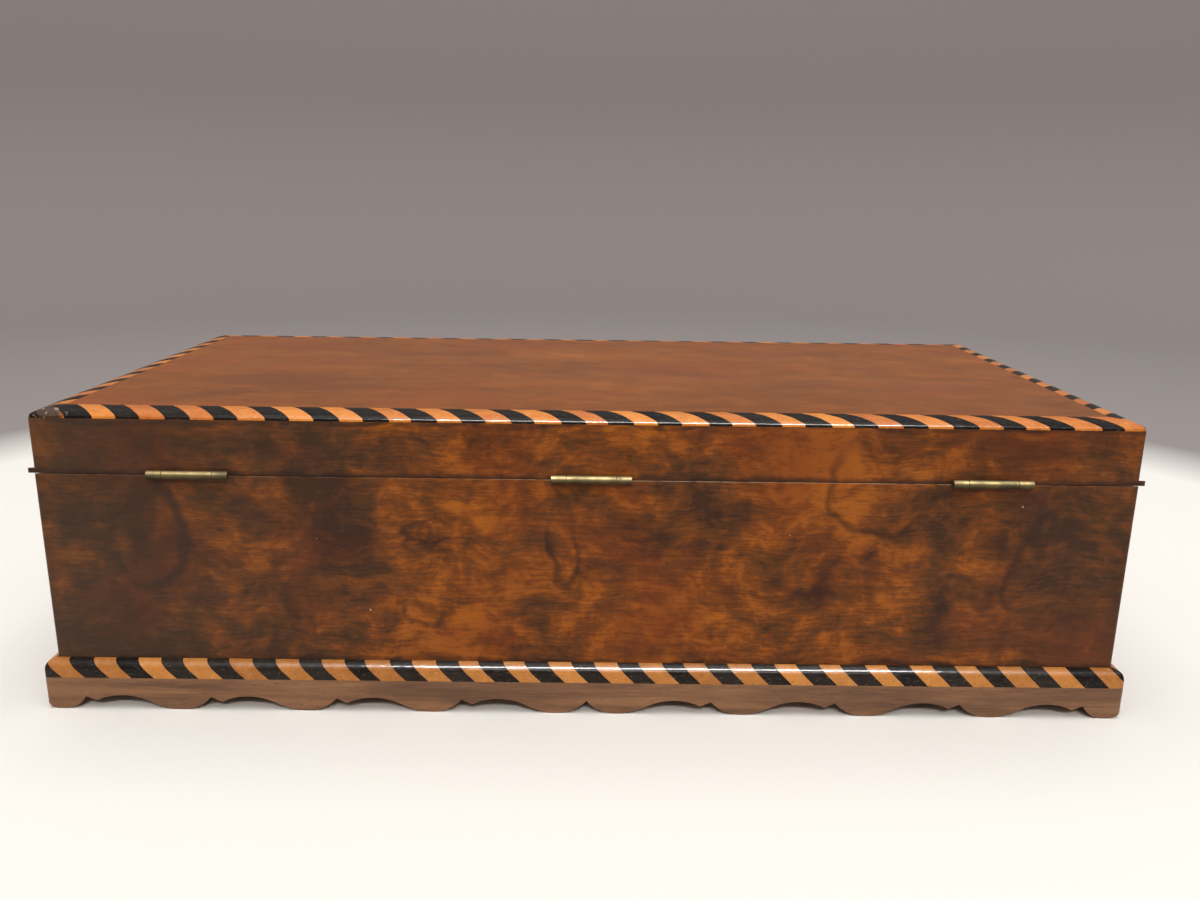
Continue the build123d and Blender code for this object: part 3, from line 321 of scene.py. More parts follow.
@dataclass(frozen=True)
class FiguredWalnut:
    """Figured walnut veneer, scraped flush and French polished.

    The ground drifts between orange and brown, listed marks and random growth lines give
    the figure, short streaks along the sheet give the fibre's shimmer, and the shellac has a
    satin gloss with pale specks where it is chipped. The ends may darken, partly with old dirt
    and partly with painted shade and a painted reflection; a band of painted shade may run along
    a lower edge; and an upper edge may carry a pale line that is partly bare wood and partly a
    painted highlight.
    """

    name: str
    grain: Grain = Grain.ACROSS
    shift_mm: tuple[float, float, float] = (0.0, 0.0, 0.0)
    marks: tuple[FigureMark, ...] = ()
    upper_tone: ToneRun = ToneRun()
    lower_tone: ToneRun = ToneRun()
    marks_lie_flat: bool = False
    figure_mm: float = 58.0
    mottle_mm: float = 11.0
    shimmer_mm: float = 1.3
    band_mm: float = 4.5
    stretch: float = 0.75
    lines: float = 0.35
    contrast: float = 1.28
    gloss: float = 0.12
    darkest_mark: float = 0.72
    worn_highlit_edge_mm: float = 0.0
    shade_above_mm: float = 0.0
    right_dirt_and_shade: float = 0.0
    left_dirt_and_shade: float = 0.0
    ink: str = "#28140A"
    deep: str = "#3D210D"
    dull: str = "#5B320F"
    middle: str = "#763D0C"
    bright: str = "#A05711"
    red: str = "#64280A"
    # Colour of the darkened ends: old dirt, with painted shade and a painted cool reflection.
    darkening: str = "#3E3327"
    chip: str = "#C9B394"
    # Colour of the pale arris line: bare wood and a painted highlight.
    bare_and_highlight: str = "#B08C6C"

    def build(self) -> bpy.types.Material:
        """Builds the veneer.

        Returns:
            The finished material.
        """
        s = Shading(
            self.name, Specular_IOR_Level=self.gloss, IOR=1.5, Coat_Weight=0.5 * self.gloss,
            Coat_Roughness=0.12, Coat_IOR=1.5,
        )
        place = s.add("TexCoord", take="Object")
        shift = tuple(value * MM for value in self.shift_mm)
        sheet = s.add("Mapping", {"Vector": place, "Rotation": self.grain.value, "Location": shift})
        pull = self.drift(s, sheet)
        swirled = s.add("VectorMath", (sheet, pull), operation="ADD")
        eased = s.add("VectorMath", (pull, 0.3), operation="SCALE")
        waved = s.add("VectorMath", (sheet, eased), operation="ADD")
        figure, shimmer, tone = self.pattern(s, swirled, waved, self.placed_tone(s, place, pull))
        ground = self.ground(s, swirled, tone)
        growth = s.add("Math", (self.growth_lines(s, figure, sheet), self.lines), operation="MULTIPLY")
        marked = s.add("Math", (self.all_marks(s, place, pull, swirled), growth), operation="ADD")
        shade = s.add("Math", (marked, 0.0), operation="MAXIMUM")
        shade = s.add("Math", (shade, self.darkest_mark), operation="MINIMUM")
        pores = s.add("Mapping", {"Vector": waved, "Scale": (0.11, 1.0, 1.0)})
        # Pores are 0.2 mm wide on the wood and drawn 0.5 mm wide so that they show.
        pore = s.add("TexNoise", {"Vector": pores, "Scale": per_metre(0.5), "Detail": 1.0}, "Fac")
        pitted = s.add("ValToRGB", {"Fac": pore}, "Color", ((0.27, 1.0), (0.36, 0.0)))
        half_pitted = s.add("Math", (pitted, 0.4), operation="MULTIPLY")
        colour = ground
        layers = [
            (shade, self.ink),
            # Ends darkened by old dirt and by painted shade and reflection.
            (self.ends_dirt_and_shade(s, place), self.darkening),
            (half_pitted, self.ink),
            (self.specks(s, place), self.chip),
        ]
        # A band of painted shade along the lower edge, where the sheet meets the part below.
        if self.shade_above_mm:
            layers.append((self.shade_along_foot(s, place), self.ink))
        # A pale line along the top arris: partly bare wood, partly a painted highlight.
        if self.worn_highlit_edge_mm:
            layers.append((self.worn_highlit_edge(s, place), self.bare_and_highlight))
        for share, layer in layers:
            colour = s.add("Mix", (share, colour, linear(layer)), data_type="RGBA")
        rubbed = s.add("TexNoise", {"Vector": sheet, "Scale": per_metre(25), "Detail": 4.0}, "Fac")
        roughness = s.add("ValToRGB", {"Fac": rubbed}, "Color", ((0.3, 0.34), (0.7, 0.5)))
        fibres = s.add("Math", (shimmer, 0.5), operation="MULTIPLY")
        relief = s.add("Math", (fibres, pitted), operation="SUBTRACT")
        return s.join(colour, roughness, relief, 0.02)

    @staticmethod
    def drift(s: Shading, sheet: bpy.types.NodeSocket) -> bpy.types.NodeSocket:
        """Displacement in metres that bends the figure at three sizes, from wide to fine.

        Args:
            s: Material under construction.
            sheet: Sheet coordinates.

        Returns:
            Vector socket, the sum of the three.
        """
        total = None
        for size_mm, reach_mm in ((45.0, 26.0), (14.0, 8.0), (4.0, 2.2)):
            noise = s.add(
                "TexNoise", {"Vector": sheet, "Scale": per_metre(size_mm), "Detail": 1.0}, "Color"
            )
            centred = s.add("VectorMath", (noise, (0.5, 0.5, 0.5)), operation="SUBTRACT")
            pull = s.add("VectorMath", (centred, reach_mm * MM), operation="SCALE")
            total = pull if total is None else s.add("VectorMath", (total, pull), operation="ADD")
        return total

    def pattern(
        self,
        s: Shading,
        swirled: bpy.types.NodeSocket,
        waved: bpy.types.NodeSocket,
        tone: bpy.types.NodeSocket,
    ) -> tuple[bpy.types.NodeSocket, bpy.types.NodeSocket, bpy.types.NodeSocket]:
        """Adds the wood's own patterns to the sheet's placed tone, each by its weight.

        Args:
            s: Material under construction.
            swirled: Sheet coordinates, fully bent by the drift.
            waved: Sheet coordinates, slightly bent by it.
            tone: The placed tone.

        Returns:
            The figure, the fibre's shimmer and the whole tone.
        """
        stretched = s.add("Mapping", {"Vector": swirled, "Scale": (self.stretch, 1.0, 1.0)})
        streaks = s.add("Mapping", {"Vector": waved, "Scale": (0.09, 1.0, 1.0)})
        patterns = []
        # The figure, the mottle, the fibre's shimmer and the bands.
        for vector, size_mm, detail, roughness, weight in (
            (stretched, self.figure_mm, 5.0, 0.55, 0.6),
            (stretched, self.mottle_mm, 5.0, 0.62, 0.55),
            (streaks, self.shimmer_mm, 3.0, 0.65, 0.28),
            (streaks, self.band_mm, 2.0, 0.5, 0.07),
        ):
            noise = s.add(
                "TexNoise",
                {"Vector": vector, "Scale": per_metre(size_mm), "Detail": detail, "Roughness": roughness},
                "Fac",
            )
            centred = s.add("Math", (noise, 0.5), operation="SUBTRACT")
            share = s.add("Math", (centred, weight * self.contrast), operation="MULTIPLY")
            tone = s.add("Math", (tone, share), operation="ADD")
            patterns.append(noise)
        return patterns[0], patterns[2], tone

    def ground(
        self, s: Shading, swirled: bpy.types.NodeSocket, tone: bpy.types.NodeSocket
    ) -> bpy.types.NodeSocket:
        """Colour of the bare ground: four browns by tone, reddened in wide clouds.

        Args:
            s: Material under construction.
            swirled: Sheet coordinates, bent by the drift.
            tone: The whole tone, about 0.5.

        Returns:
            Colour socket.
        """
        places = (0.33, 0.45, 0.54, 0.67)
        browns = (linear(self.deep), linear(self.dull), linear(self.middle), linear(self.bright))
        brown = s.add("ValToRGB", {"Fac": tone}, "Color", tuple(zip(places, browns)))
        blush = s.add("TexNoise", {"Vector": swirled, "Scale": per_metre(60), "Detail": 3.0}, "Fac")
        reddened = s.add("ValToRGB", {"Fac": blush}, "Color", ((0.48, 0.0), (0.62, 0.5)))
        return s.add("Mix", (reddened, brown, linear(self.red)), data_type="RGBA")

    def placed_tone(
        self, s: Shading, place: bpy.types.NodeSocket, pull: bpy.types.NodeSocket
    ) -> bpy.types.NodeSocket:
        """Tone of the sheet from its two runs, which meet 70 mm above the table.

        Args:
            s: Material under construction.
            place: Object coordinates.
            pull: Drift that keeps the runs from ending straight.

        Returns:
            Tone socket, 0.5 where the sheet has no change.
        """
        moved = s.add("VectorMath", (place, pull), operation="ADD")
        bent = s.add("SeparateXYZ", {"Vector": moved}, "X")
        height = s.add("SeparateXYZ", {"Vector": place}, "Z")
        along = s.add("Math", (bent, 1 / (CASE_WIDTH_MM * MM), 0.5), operation="MULTIPLY_ADD")
        upper = s.add("ValToRGB", {"Fac": along}, "Color", self.upper_tone.stops())
        lower = s.add("ValToRGB", {"Fac": along}, "Color", self.lower_tone.stops())
        share = s.add("MapRange", (height, 60.0 * MM, 80.0 * MM, 0.0, 1.0), **SMOOTHLY)
        tone = s.add("Mix", (share, lower, upper), data_type="RGBA")
        return s.add("Math", (tone, 0.4, 0.3), operation="MULTIPLY_ADD")

    @staticmethod
    def growth_lines(
        s: Shading, figure: bpy.types.NodeSocket, sheet: bpy.types.NodeSocket
    ) -> bpy.types.NodeSocket:
        """Lines along the level lines of the figure, sharp on one side and fading on the other.

        Args:
            s: Material under construction.
            figure: The figure, 0 to 1.
            sheet: Sheet coordinates.

        Returns:
            Socket from 0, clear, to 1, dark.
        """
        lines_in_figure = 13.0
        counted = s.add("Math", (figure, lines_in_figure), operation="MULTIPLY")
        step = s.add("Math", (counted,), operation="FRACT")
        sharp_then_fading = ((0.0, 0.0), (0.06, 1.0), (0.16, 0.5), (0.55, 0.0))
        line = s.add("ValToRGB", {"Fac": step}, "Color", sharp_then_fading)
        patch = s.add("TexNoise", {"Vector": sheet, "Scale": per_metre(30), "Detail": 3.0}, "Fac")
        where = s.add("ValToRGB", {"Fac": patch}, "Color", ((0.46, 0.0), (0.64, 1.0)))
        return s.add("Math", (line, where), operation="MULTIPLY")

    def all_marks(
        self,
        s: Shading,
        place: bpy.types.NodeSocket,
        pull: bpy.types.NodeSocket,
        swirled: bpy.types.NodeSocket,
    ) -> bpy.types.NodeSocket | float:
        """Sum of the marks' darkness, broken up by a mottle that is 6 mm wide.

        Args:
            s: Material under construction.
            place: Object coordinates.
            pull: Drift that makes the marks organic.
            swirled: Sheet coordinates, bent by the drift.

        Returns:
            Darkness, or 0 where the sheet has no marks.
        """
        if not self.marks:
            return 0.0
        speckle = s.add("Mapping", {"Vector": swirled, "Scale": (0.4, 1.0, 1.0)})
        patchy = s.add(
            "TexNoise", {"Vector": speckle, "Scale": per_metre(6), "Detail": 5.0, "Roughness": 0.6}, "Fac"
        )
        spread = s.add("Math", (patchy, 3.6), operation="MULTIPLY")
        uneven = s.add("Math", (spread, -0.9), operation="ADD")
        total = 0.0
        for mark in self.marks:
            total = s.add("Math", (total, self.mark_shade(s, place, pull, mark, uneven)), operation="ADD")
        return total

    def mark_shade(
        self,
        s: Shading,
        place: bpy.types.NodeSocket,
        pull: bpy.types.NodeSocket,
        mark: FigureMark,
        uneven: bpy.types.NodeSocket,
    ) -> bpy.types.NodeSocket:
        """Darkness of one mark: soft inside its oval, and a line that fades round its rim.

        Args:
            s: Material under construction.
            place: Object coordinates.
            pull: Drift that makes the oval organic.
            mark: The mark.
            uneven: Factor that breaks up the inside of the oval.

        Returns:
            Socket from 0, clear, to 1, dark.
        """
        small = min(mark.half_width, mark.half_height)
        softened = s.add("VectorMath", (pull, min(1.0, 0.25 + small / 12.0)), operation="SCALE")
        bent = s.add("VectorMath", (place, softened), operation="ADD")
        across, up = mark.half_width * MM, mark.half_height * MM
        # A thousand metres through the sheet, so that the mark is an endless column.
        if self.marks_lie_flat:
            where, turn, scale = (mark.x * MM, mark.up * MM, 0.0), (0.0, 0.0, mark.turn), (across, up, 1e3)
        else:
            where, turn, scale = (mark.x * MM, 0.0, mark.up * MM), (0.0, -mark.turn, 0.0), (across, 1e3, up)
        local = s.add(
            "Mapping",
            {"Vector": bent, "Location": where, "Rotation": turn, "Scale": scale},
            vector_type="TEXTURE",
        )
        reach = s.add("VectorMath", (local,), "Value", operation="LENGTH")
        shade = None
        if mark.core:
            core = s.add("MapRange", (reach, 0.25, 1.4, 0.72 * mark.core, 0.0), **SMOOTHLY)
            shade = s.add("Math", (core, uneven), operation="MULTIPLY")
        if mark.rim:
            rim = s.add("Math", (self.rim_line(s, mark, reach, local), mark.rim), operation="MULTIPLY")
            shade = rim if shade is None else s.add("Math", (shade, rim), operation="MAXIMUM")
        return shade

    def rim_line(
        self, s: Shading, mark: FigureMark, reach: bpy.types.NodeSocket, local: bpy.types.NodeSocket
    ) -> bpy.types.NodeSocket:
        """Line round a mark's oval, strongest on the side that it faces.

        Args:
            s: Material under construction.
            mark: The mark.
            reach: Distance from the mark's middle, where the oval's rim is at 1.
            local: Coordinates that are measured from the mark's middle.

        Returns:
            Socket from 0, clear, to 1, dark.
        """
        small = min(mark.half_width, mark.half_height)
        off = s.add("Math", (s.add("Math", (reach, 1.0), operation="SUBTRACT"),), operation="ABSOLUTE")
        fall = s.add("Math", (off, small / (1.5 * mark.rim_mm)), operation="MULTIPLY")
        line = s.add("Math", (1.0, fall), operation="SUBTRACT")
        line = s.add("Math", (line, 0.85, 0.3), operation="SMOOTH_MIN")
        across, up = math.cos(mark.faces), math.sin(mark.faces)
        towards = (across, up, 0.0) if self.marks_lie_flat else (across, 0.0, up)
        turned = s.add("VectorMath", (local, towards), "Value", operation="DOT_PRODUCT")
        fade = s.add("MapRange", (turned, -0.7, 0.6, 1.0 - mark.broken, 1.0), **SMOOTHLY)
        return s.add("Math", (s.add("Math", (line, 0.0), operation="MAXIMUM"), fade), operation="MULTIPLY")

    def ends_dirt_and_shade(self, s: Shading, place: bpy.types.NodeSocket) -> bpy.types.NodeSocket:
        """Share of the darkening towards the two ends: old dirt, painted shade and a painted cool
        reflection.

        Args:
            s: Material under construction.
            place: Object coordinates.

        Returns:
            Socket from 0 to 1.
        """
        x = s.add("SeparateXYZ", {"Vector": place}, "X")
        right = s.add("MapRange", (x, 0.06, 0.25, 0.0, self.right_dirt_and_shade), clamp=True)
        left = s.add("MapRange", (x, -0.10, -0.25, 0.0, self.left_dirt_and_shade), clamp=True)
        return s.add("Math", (right, left), operation="ADD")

    def shade_along_foot(self, s: Shading, place: bpy.types.NodeSocket) -> bpy.types.NodeSocket:
        """Share of painted shade along the lower edge of the sheet, where it meets the part below.

        Args:
            s: Material under construction.
            place: Object coordinates.

        Returns:
            Socket from 0 to 1.
        """
        height = s.add("SeparateXYZ", {"Vector": place}, "Z")
        cloud = s.add("TexNoise", {"Vector": place, "Scale": per_metre(12), "Detail": 5.0}, "Fac")
        bent = s.add("Math", (cloud, -6.0 * MM, height), operation="MULTIPLY_ADD")
        foot = self.shade_above_mm * MM
        return s.add("MapRange", (bent, foot - 2.0 * MM, foot + 1.0 * MM, 0.75, 0.0), **SMOOTHLY)

    def worn_highlit_edge(self, s: Shading, place: bpy.types.NodeSocket) -> bpy.types.NodeSocket:
        """Share of the pale line along the top arris of the wall, unbroken only near the middle: partly
        bare wood, partly a painted highlight.

        Args:
            s: Material under construction.
            place: Object coordinates.

        Returns:
            Socket from 0 to 1.
        """
        height = s.add("SeparateXYZ", {"Vector": place}, "Z")
        edge = self.worn_highlit_edge_mm * MM
        line = s.add("MapRange", (height, edge - 0.5 * MM, edge - 0.2 * MM, 0.0, 1.0), **SMOOTHLY)
        x = s.add("SeparateXYZ", {"Vector": place}, "X")
        aside = s.add("Math", (s.add("Math", (x, 0.07), operation="ADD"),), operation="ABSOLUTE")
        middle = s.add("MapRange", (aside, 0.05, 0.16, 0.85, 0.2), **SMOOTHLY)
        cloud = s.add("TexNoise", {"Vector": place, "Scale": per_metre(5), "Detail": 4.0}, "Fac")
        worn = s.add("MapRange", (cloud, 0.35, 0.6, 0.1, 1.0), **SMOOTHLY)
        where = s.add("Math", (middle, worn), operation="MULTIPLY")
        return s.add("Math", (line, where), operation="MULTIPLY")

    @staticmethod
    def specks(s: Shading, place: bpy.types.NodeSocket) -> bpy.types.NodeSocket:
        """Share of pale chips and dust: sparse dots of about 0.6 mm.

        Args:
            s: Material under construction.
            place: Object coordinates.

        Returns:
            Socket from 0 to 1.
        """
        cell = s.add("TexVoronoi", {"Vector": place, "Scale": per_metre(17)}, "Distance")
        dot = s.add("ValToRGB", {"Fac": cell}, "Color", ((0.018, 0.75), (0.03, 0.0)))
        gate = s.add("TexNoise", {"Vector": place, "Scale": per_metre(30), "Detail": 2.0}, "Fac")
        some = s.add("ValToRGB", {"Fac": gate}, "Color", ((0.52, 0.0), (0.58, 1.0)))
        return s.add("Math", (dot, some), operation="MULTIPLY")


@dataclass(frozen=True)
class PlainWalnut:
    """Straight-grained walnut, planed and waxed: even brown with dark streaks and open pores."""

    name: str
    grain: Grain = Grain.ACROSS
    light: str = "#8E623E"
    dark: str = "#5E3D24"
    pore: str = "#2C1A10"
    roughness: float = 0.48
    gloss: float = 0.3

    def build(self) -> bpy.types.Material:
        """Builds the wood.

        Returns:
            The finished material.
        """
        s = Shading(
            self.name, Specular_IOR_Level=self.gloss, IOR=1.5, Coat_Weight=0.25 * self.gloss,
            Coat_Roughness=0.25,
        )
        place = s.add("TexCoord", take="Object")
        board = s.add("Mapping", {"Vector": place, "Rotation": self.grain.value})
        streaks = s.add("Mapping", {"Vector": board, "Scale": (0.06, 1.0, 1.0)})
        rings = s.add(
            "TexNoise", {"Vector": streaks, "Scale": per_metre(7), "Detail": 4.0, "Distortion": 0.6}, "Fac"
        )
        fibre = s.add("TexNoise", {"Vector": streaks, "Scale": per_metre(0.8), "Detail": 2.0}, "Fac")
        centred = s.add("Math", (fibre, 0.5), operation="SUBTRACT")
        tone = s.add("Math", (rings, s.add("Math", (centred, 0.35), operation="MULTIPLY")), operation="ADD")
        browns = ((0.32, linear(self.dark)), (0.62, linear(self.light)))
        ground = s.add("ValToRGB", {"Fac": tone}, "Color", browns)
        pores = s.add("Mapping", {"Vector": board, "Scale": (0.12, 1.0, 1.0)})
        # Pores are drawn 0.45 mm wide, about twice their width, so that they show.
        pore = s.add("TexNoise", {"Vector": pores, "Scale": per_metre(0.45), "Detail": 1.0}, "Fac")
        pitted = s.add("ValToRGB", {"Fac": pore}, "Color", ((0.29, 1.0), (0.37, 0.0)))
        half_pitted = s.add("Math", (pitted, 0.5), operation="MULTIPLY")
        darkening = s.add("TexNoise", {"Vector": board, "Scale": per_metre(30), "Detail": 3.0}, "Fac")
        worn = s.add("ValToRGB", {"Fac": darkening}, "Color", ((0.35, 0.0), (0.75, 0.35)))
        colour = ground
        for share, layer in ((half_pitted, self.pore), (worn, self.dark)):
            colour = s.add("Mix", (share, colour, linear(layer)), data_type="RGBA")
        sheen = s.add("Math", (fibre, 0.12), operation="MULTIPLY")
        roughness = s.add("Math", (sheen, self.roughness - 0.06), operation="ADD")
        raised = s.add("Math", (fibre, 0.4), operation="MULTIPLY")
        return s.join(colour, roughness, s.add("Math", (raised, pitted), operation="SUBTRACT"), 0.05)


@dataclass(frozen=True)
class BandingWood:
    """Small blocks of a dense wood, scraped flush on the box and varnished to a gloss.

    Every block has its own tone, carried by the mesh, with fibres along the stripe, dark flecks
    and fine scratches that break the gloss.
    """

    name: str
    pale: str
    deep: str
    fleck: str
    scratch: str
    scratch_share: float = 0.3
    varnish: float = 0.35
    specular: float = 0.12
    roughness: float = 0.34
    soot: str = "#1A1610"
    chip: str = "#B7A488"

    def build(self) -> bpy.types.Material:
        """Builds the wood.

        Returns:
            The finished material.
        """
        s = Shading(
            self.name, Specular_IOR_Level=self.specular, IOR=1.5, Coat_Weight=self.varnish,
            Coat_Roughness=0.1, Coat_IOR=1.5,
        )
        place = s.add("TexCoord", take="Object")
        stripe = s.add("UVMap", take="UV", uv_map="stripe")
        tone = s.add("Attribute", take="Fac", attribute_name="tone")
        along = s.add("Mapping", {"Vector": stripe, "Scale": (0.12, 1.0, 1.0)})
        fibre = s.add("TexNoise", {"Vector": along, "Scale": per_metre(0.7), "Detail": 3.0}, "Fac")
        cloud = s.add("TexNoise", {"Vector": place, "Scale": per_metre(5), "Detail": 3.0}, "Fac")
        by_block = s.add("Math", (tone, 0.45), operation="MULTIPLY")
        by_cloud = s.add("Math", (cloud, 0.55), operation="MULTIPLY")
        mixed = s.add("Math", (by_block, by_cloud), operation="ADD")
        centred = s.add("Math", (fibre, 0.5), operation="SUBTRACT")
        share = s.add("Math", (mixed, s.add("Math", (centred, 0.3), operation="MULTIPLY")), operation="ADD")
        tones = ((0.22, linear(self.deep)), (0.72, linear(self.pale)))
        ground = s.add("ValToRGB", {"Fac": share}, "Color", tones)
        flecks = s.add("TexNoise", {"Vector": place, "Scale": per_metre(1.3), "Detail": 2.0}, "Fac")
        dirty = s.add("ValToRGB", {"Fac": flecks}, "Color", ((0.66, 0.0), (0.74, 0.8)))
        askew, drawn_out = (0.3, 0.5, 0.7), (0.25, 1.0, 1.0)
        strokes = s.add("Mapping", {"Vector": place, "Rotation": askew, "Scale": drawn_out})
        stroke = s.add("TexNoise", {"Vector": strokes, "Scale": per_metre(0.55), "Detail": 1.0}, "Fac")
        scratched = s.add("ValToRGB", {"Fac": stroke}, "Color", ((0.64, 0.0), (0.7, self.scratch_share)))
        blackened, chipped = self.knocked_corner(s, place)
        colour = ground
        for share, layer in (
            (dirty, self.fleck),
            (scratched, self.scratch),
            (blackened, self.soot),
            (chipped, self.chip),
        ):
            colour = s.add("Mix", (share, colour, linear(layer)), data_type="RGBA")
        sheen = s.add("Math", (cloud, 0.2), operation="MULTIPLY")
        roughness = s.add("Math", (sheen, self.roughness - 0.1), operation="ADD")
        raised = s.add("Math", (fibre, 0.4), operation="MULTIPLY")
        sunk = s.add("Math", (scratched, -0.8), operation="MULTIPLY")
        return s.join(colour, roughness, s.add("Math", (raised, sunk), operation="ADD"), 0.025)

    @staticmethod
    def knocked_corner(
        s: Shading, place: bpy.types.NodeSocket
    ) -> tuple[bpy.types.NodeSocket, bpy.types.NodeSocket]:
        """Damage on the lid's most knocked corner, back right.

        Args:
            s: Material under construction.
            place: Object coordinates.

        Returns:
            Share of the black dirt, which ends raggedly 21 mm away, and of the pale chips in it.
        """
        ragged = s.add("TexNoise", {"Vector": place, "Scale": per_metre(4), "Detail": 4.0}, "Fac")
        away = s.add("VectorMath", (place, KNOCKED_CORNER), "Value", operation="DISTANCE")
        bent = s.add("Math", (ragged, 12.0 * MM, away), operation="MULTIPLY_ADD")
        grimy = s.add("MapRange", (bent, 21.0 * MM, 26.0 * MM, 0.92, 0.0), **SMOOTHLY)
        chips = s.add("TexNoise", {"Vector": place, "Scale": per_metre(3), "Detail": 3.0}, "Fac")
        chipped = s.add("MapRange", (chips, 0.6, 0.68, 0.0, 0.7), **SMOOTHLY)
        near = s.add("MapRange", (away, 14.0 * MM, 22.0 * MM, 1.0, 0.0), **SMOOTHLY)
        return grimy, s.add("Math", (chipped, near), operation="MULTIPLY")


@dataclass(frozen=True)
class RolledBrass:
    """Rolled brass that has dulled: yellow metal under a brown-green film, bright where rubbed."""

    name: str
    metal: str = "#6A5C3D"
    film: str = "#3D3526"
    film_share: float = 0.62
    roughness: float = 0.5

    def build(self) -> bpy.types.Material:
        """Builds the metal.

        Returns:
            The finished material.
        """
        s = Shading(self.name, Metallic=1.0)
        place = s.add("TexCoord", take="Object")
        cloud = s.add("TexNoise", {"Vector": place, "Scale": per_metre(6), "Detail": 4.0}, "Fac")
        low = 0.62 - 0.35 * self.film_share
        tarnish = s.add("ValToRGB", {"Fac": cloud}, "Color", ((low - 0.2, 0.1), (low + 0.3, 1.0)))
        colour = s.add("Mix", (tarnish, linear(self.metal), linear(self.film)), data_type="RGBA")
        lines = s.add("Mapping", {"Vector": place, "Scale": (0.06, 1.0, 1.0)})
        # Drawing lines are drawn 0.4 mm apart, several times coarser than the real ones.
        drawn = s.add("TexNoise", {"Vector": lines, "Scale": per_metre(0.4), "Detail": 2.0}, "Fac")
        dulled = s.add("Math", (tarnish, 0.2), operation="MULTIPLY")
        roughness = s.add("Math", (dulled, self.roughness - 0.05), operation="ADD")
        return s.join(colour, roughness, drawn, 0.004)


@dataclass(frozen=True)
class SkiverLeather:
    """Sheepskin skiver, glazed and pasted down: fine pebble grain, darker where hands rested.

    A single tooled line, with most of its gilding rubbed away, runs inside the edge.
    """

    name: str
    middle_y: float
    half_x: float
    half_y: float
    slope: float
    hide: str = "#34452F"
    worn: str = "#59603F"
    crease: str = "#1B2218"
    gilding: str = "#A8884A"
    line_in_mm: float = 9.0
    line_mm: float = 0.9

    def build(self) -> bpy.types.Material:
        """Builds the leather.

        Returns:
            The finished material.
        """
        s = Shading(self.name, IOR=1.48, Coat_Weight=0.1, Coat_Roughness=0.35)
        place = s.add("TexCoord", take="Object")
        grain = {"Vector": place, "Scale": per_metre(0.9)}
        pebble = s.add("TexVoronoi", grain, "Distance", feature="SMOOTH_F1")
        cloud = s.add("TexNoise", {"Vector": place, "Scale": per_metre(35), "Detail": 5.0}, "Fac")
        wear = s.add("ValToRGB", {"Fac": cloud}, "Color", ((0.42, 0.0), (0.72, 0.6)))
        creased = s.add("Math", (pebble, 0.35), operation="MULTIPLY")
        line = self.tooled_line(s, place)
        rubbed = s.add("TexNoise", {"Vector": place, "Scale": per_metre(6), "Detail": 4.0}, "Fac")
        left_gilt = s.add("MapRange", (rubbed, 0.42, 0.58, 0.25, 0.95), **SMOOTHLY)
        gilt = s.add("Math", (line, left_gilt), operation="MULTIPLY")
        colour = linear(self.hide)
        for share, layer in ((wear, self.worn), (creased, self.crease), (gilt, self.gilding)):
            colour = s.add("Mix", (share, colour, linear(layer)), data_type="RGBA")
        sheen = s.add("Math", (cloud, 0.2), operation="MULTIPLY")
        roughness = s.add("Math", (sheen, 0.42), operation="ADD")
        pressed = s.add("Math", (line, 2.0), operation="MULTIPLY")
        return s.join(colour, roughness, s.add("Math", (pebble, pressed), operation="SUBTRACT"), 0.08)

    def tooled_line(self, s: Shading, place: bpy.types.NodeSocket) -> bpy.types.NodeSocket:
        """Share of the line: 1 where a point is line_in_mm from the nearest edge of the sheet.

        Args:
            s: Material under construction.
            place: Object coordinates.

        Returns:
            Socket from 0 to 1. Distances front to back are measured along the slope.
        """
        x = s.add("Math", (s.add("SeparateXYZ", {"Vector": place}, "X"),), operation="ABSOLUTE")
        off_middle = s.add(
            "Math", (s.add("SeparateXYZ", {"Vector": place}, "Y"), self.middle_y), operation="SUBTRACT"
        )
        y = s.add("Math", (off_middle,), operation="ABSOLUTE")
        beside = s.add("Math", (self.half_x, x), operation="SUBTRACT")
        before = s.add("Math", (self.half_y, y), operation="SUBTRACT")
        before = s.add("Math", (before, math.cos(self.slope)), operation="DIVIDE")
        inside = s.add("Math", (beside, before), operation="MINIMUM")
        off_line = s.add("Math", (inside, self.line_in_mm * MM), operation="SUBTRACT")
        off = s.add("Math", (off_line,), operation="ABSOLUTE")
        half, soft = 0.5 * self.line_mm * MM, 0.2 * MM
        return s.add("MapRange", (off, half - soft, half + soft, 1.0, 0.0), **SMOOTHLY)


@dataclass(frozen=True)
class LiningPaper:
    """Plain plum lining paper, pasted in and faded, with a soft fibrous texture."""

    name: str
    sheet: str = "#5E4250"
    faded: str = "#7E5F68"
    foxing: str = "#4C3A30"

    def build(self) -> bpy.types.Material:
        """Builds the paper.

        Returns:
            The finished material.
        """
        s = Shading(self.name)
        place = s.add("TexCoord", take="Object")
        cloud = s.add("TexNoise", {"Vector": place, "Scale": per_metre(60), "Detail": 6.0}, "Fac")
        fibre = s.add("TexNoise", {"Vector": place, "Scale": per_metre(0.8), "Detail": 3.0}, "Fac")
        spots = s.add("TexNoise", {"Vector": place, "Scale": per_metre(4), "Detail": 2.0}, "Fac")
        fading = s.add("ValToRGB", {"Fac": cloud}, "Color", ((0.2, 0.0), (0.9, 1.0)))
        foxed = s.add("ValToRGB", {"Fac": spots}, "Color", ((0.66, 0.0), (0.76, 0.4)))
        colour = linear(self.sheet)
        for share, layer in ((fading, self.faded), (foxed, self.foxing)):
            colour = s.add("Mix", (share, colour, linear(layer)), data_type="RGBA")
        return s.join(colour, 0.85, fibre, 0.04)


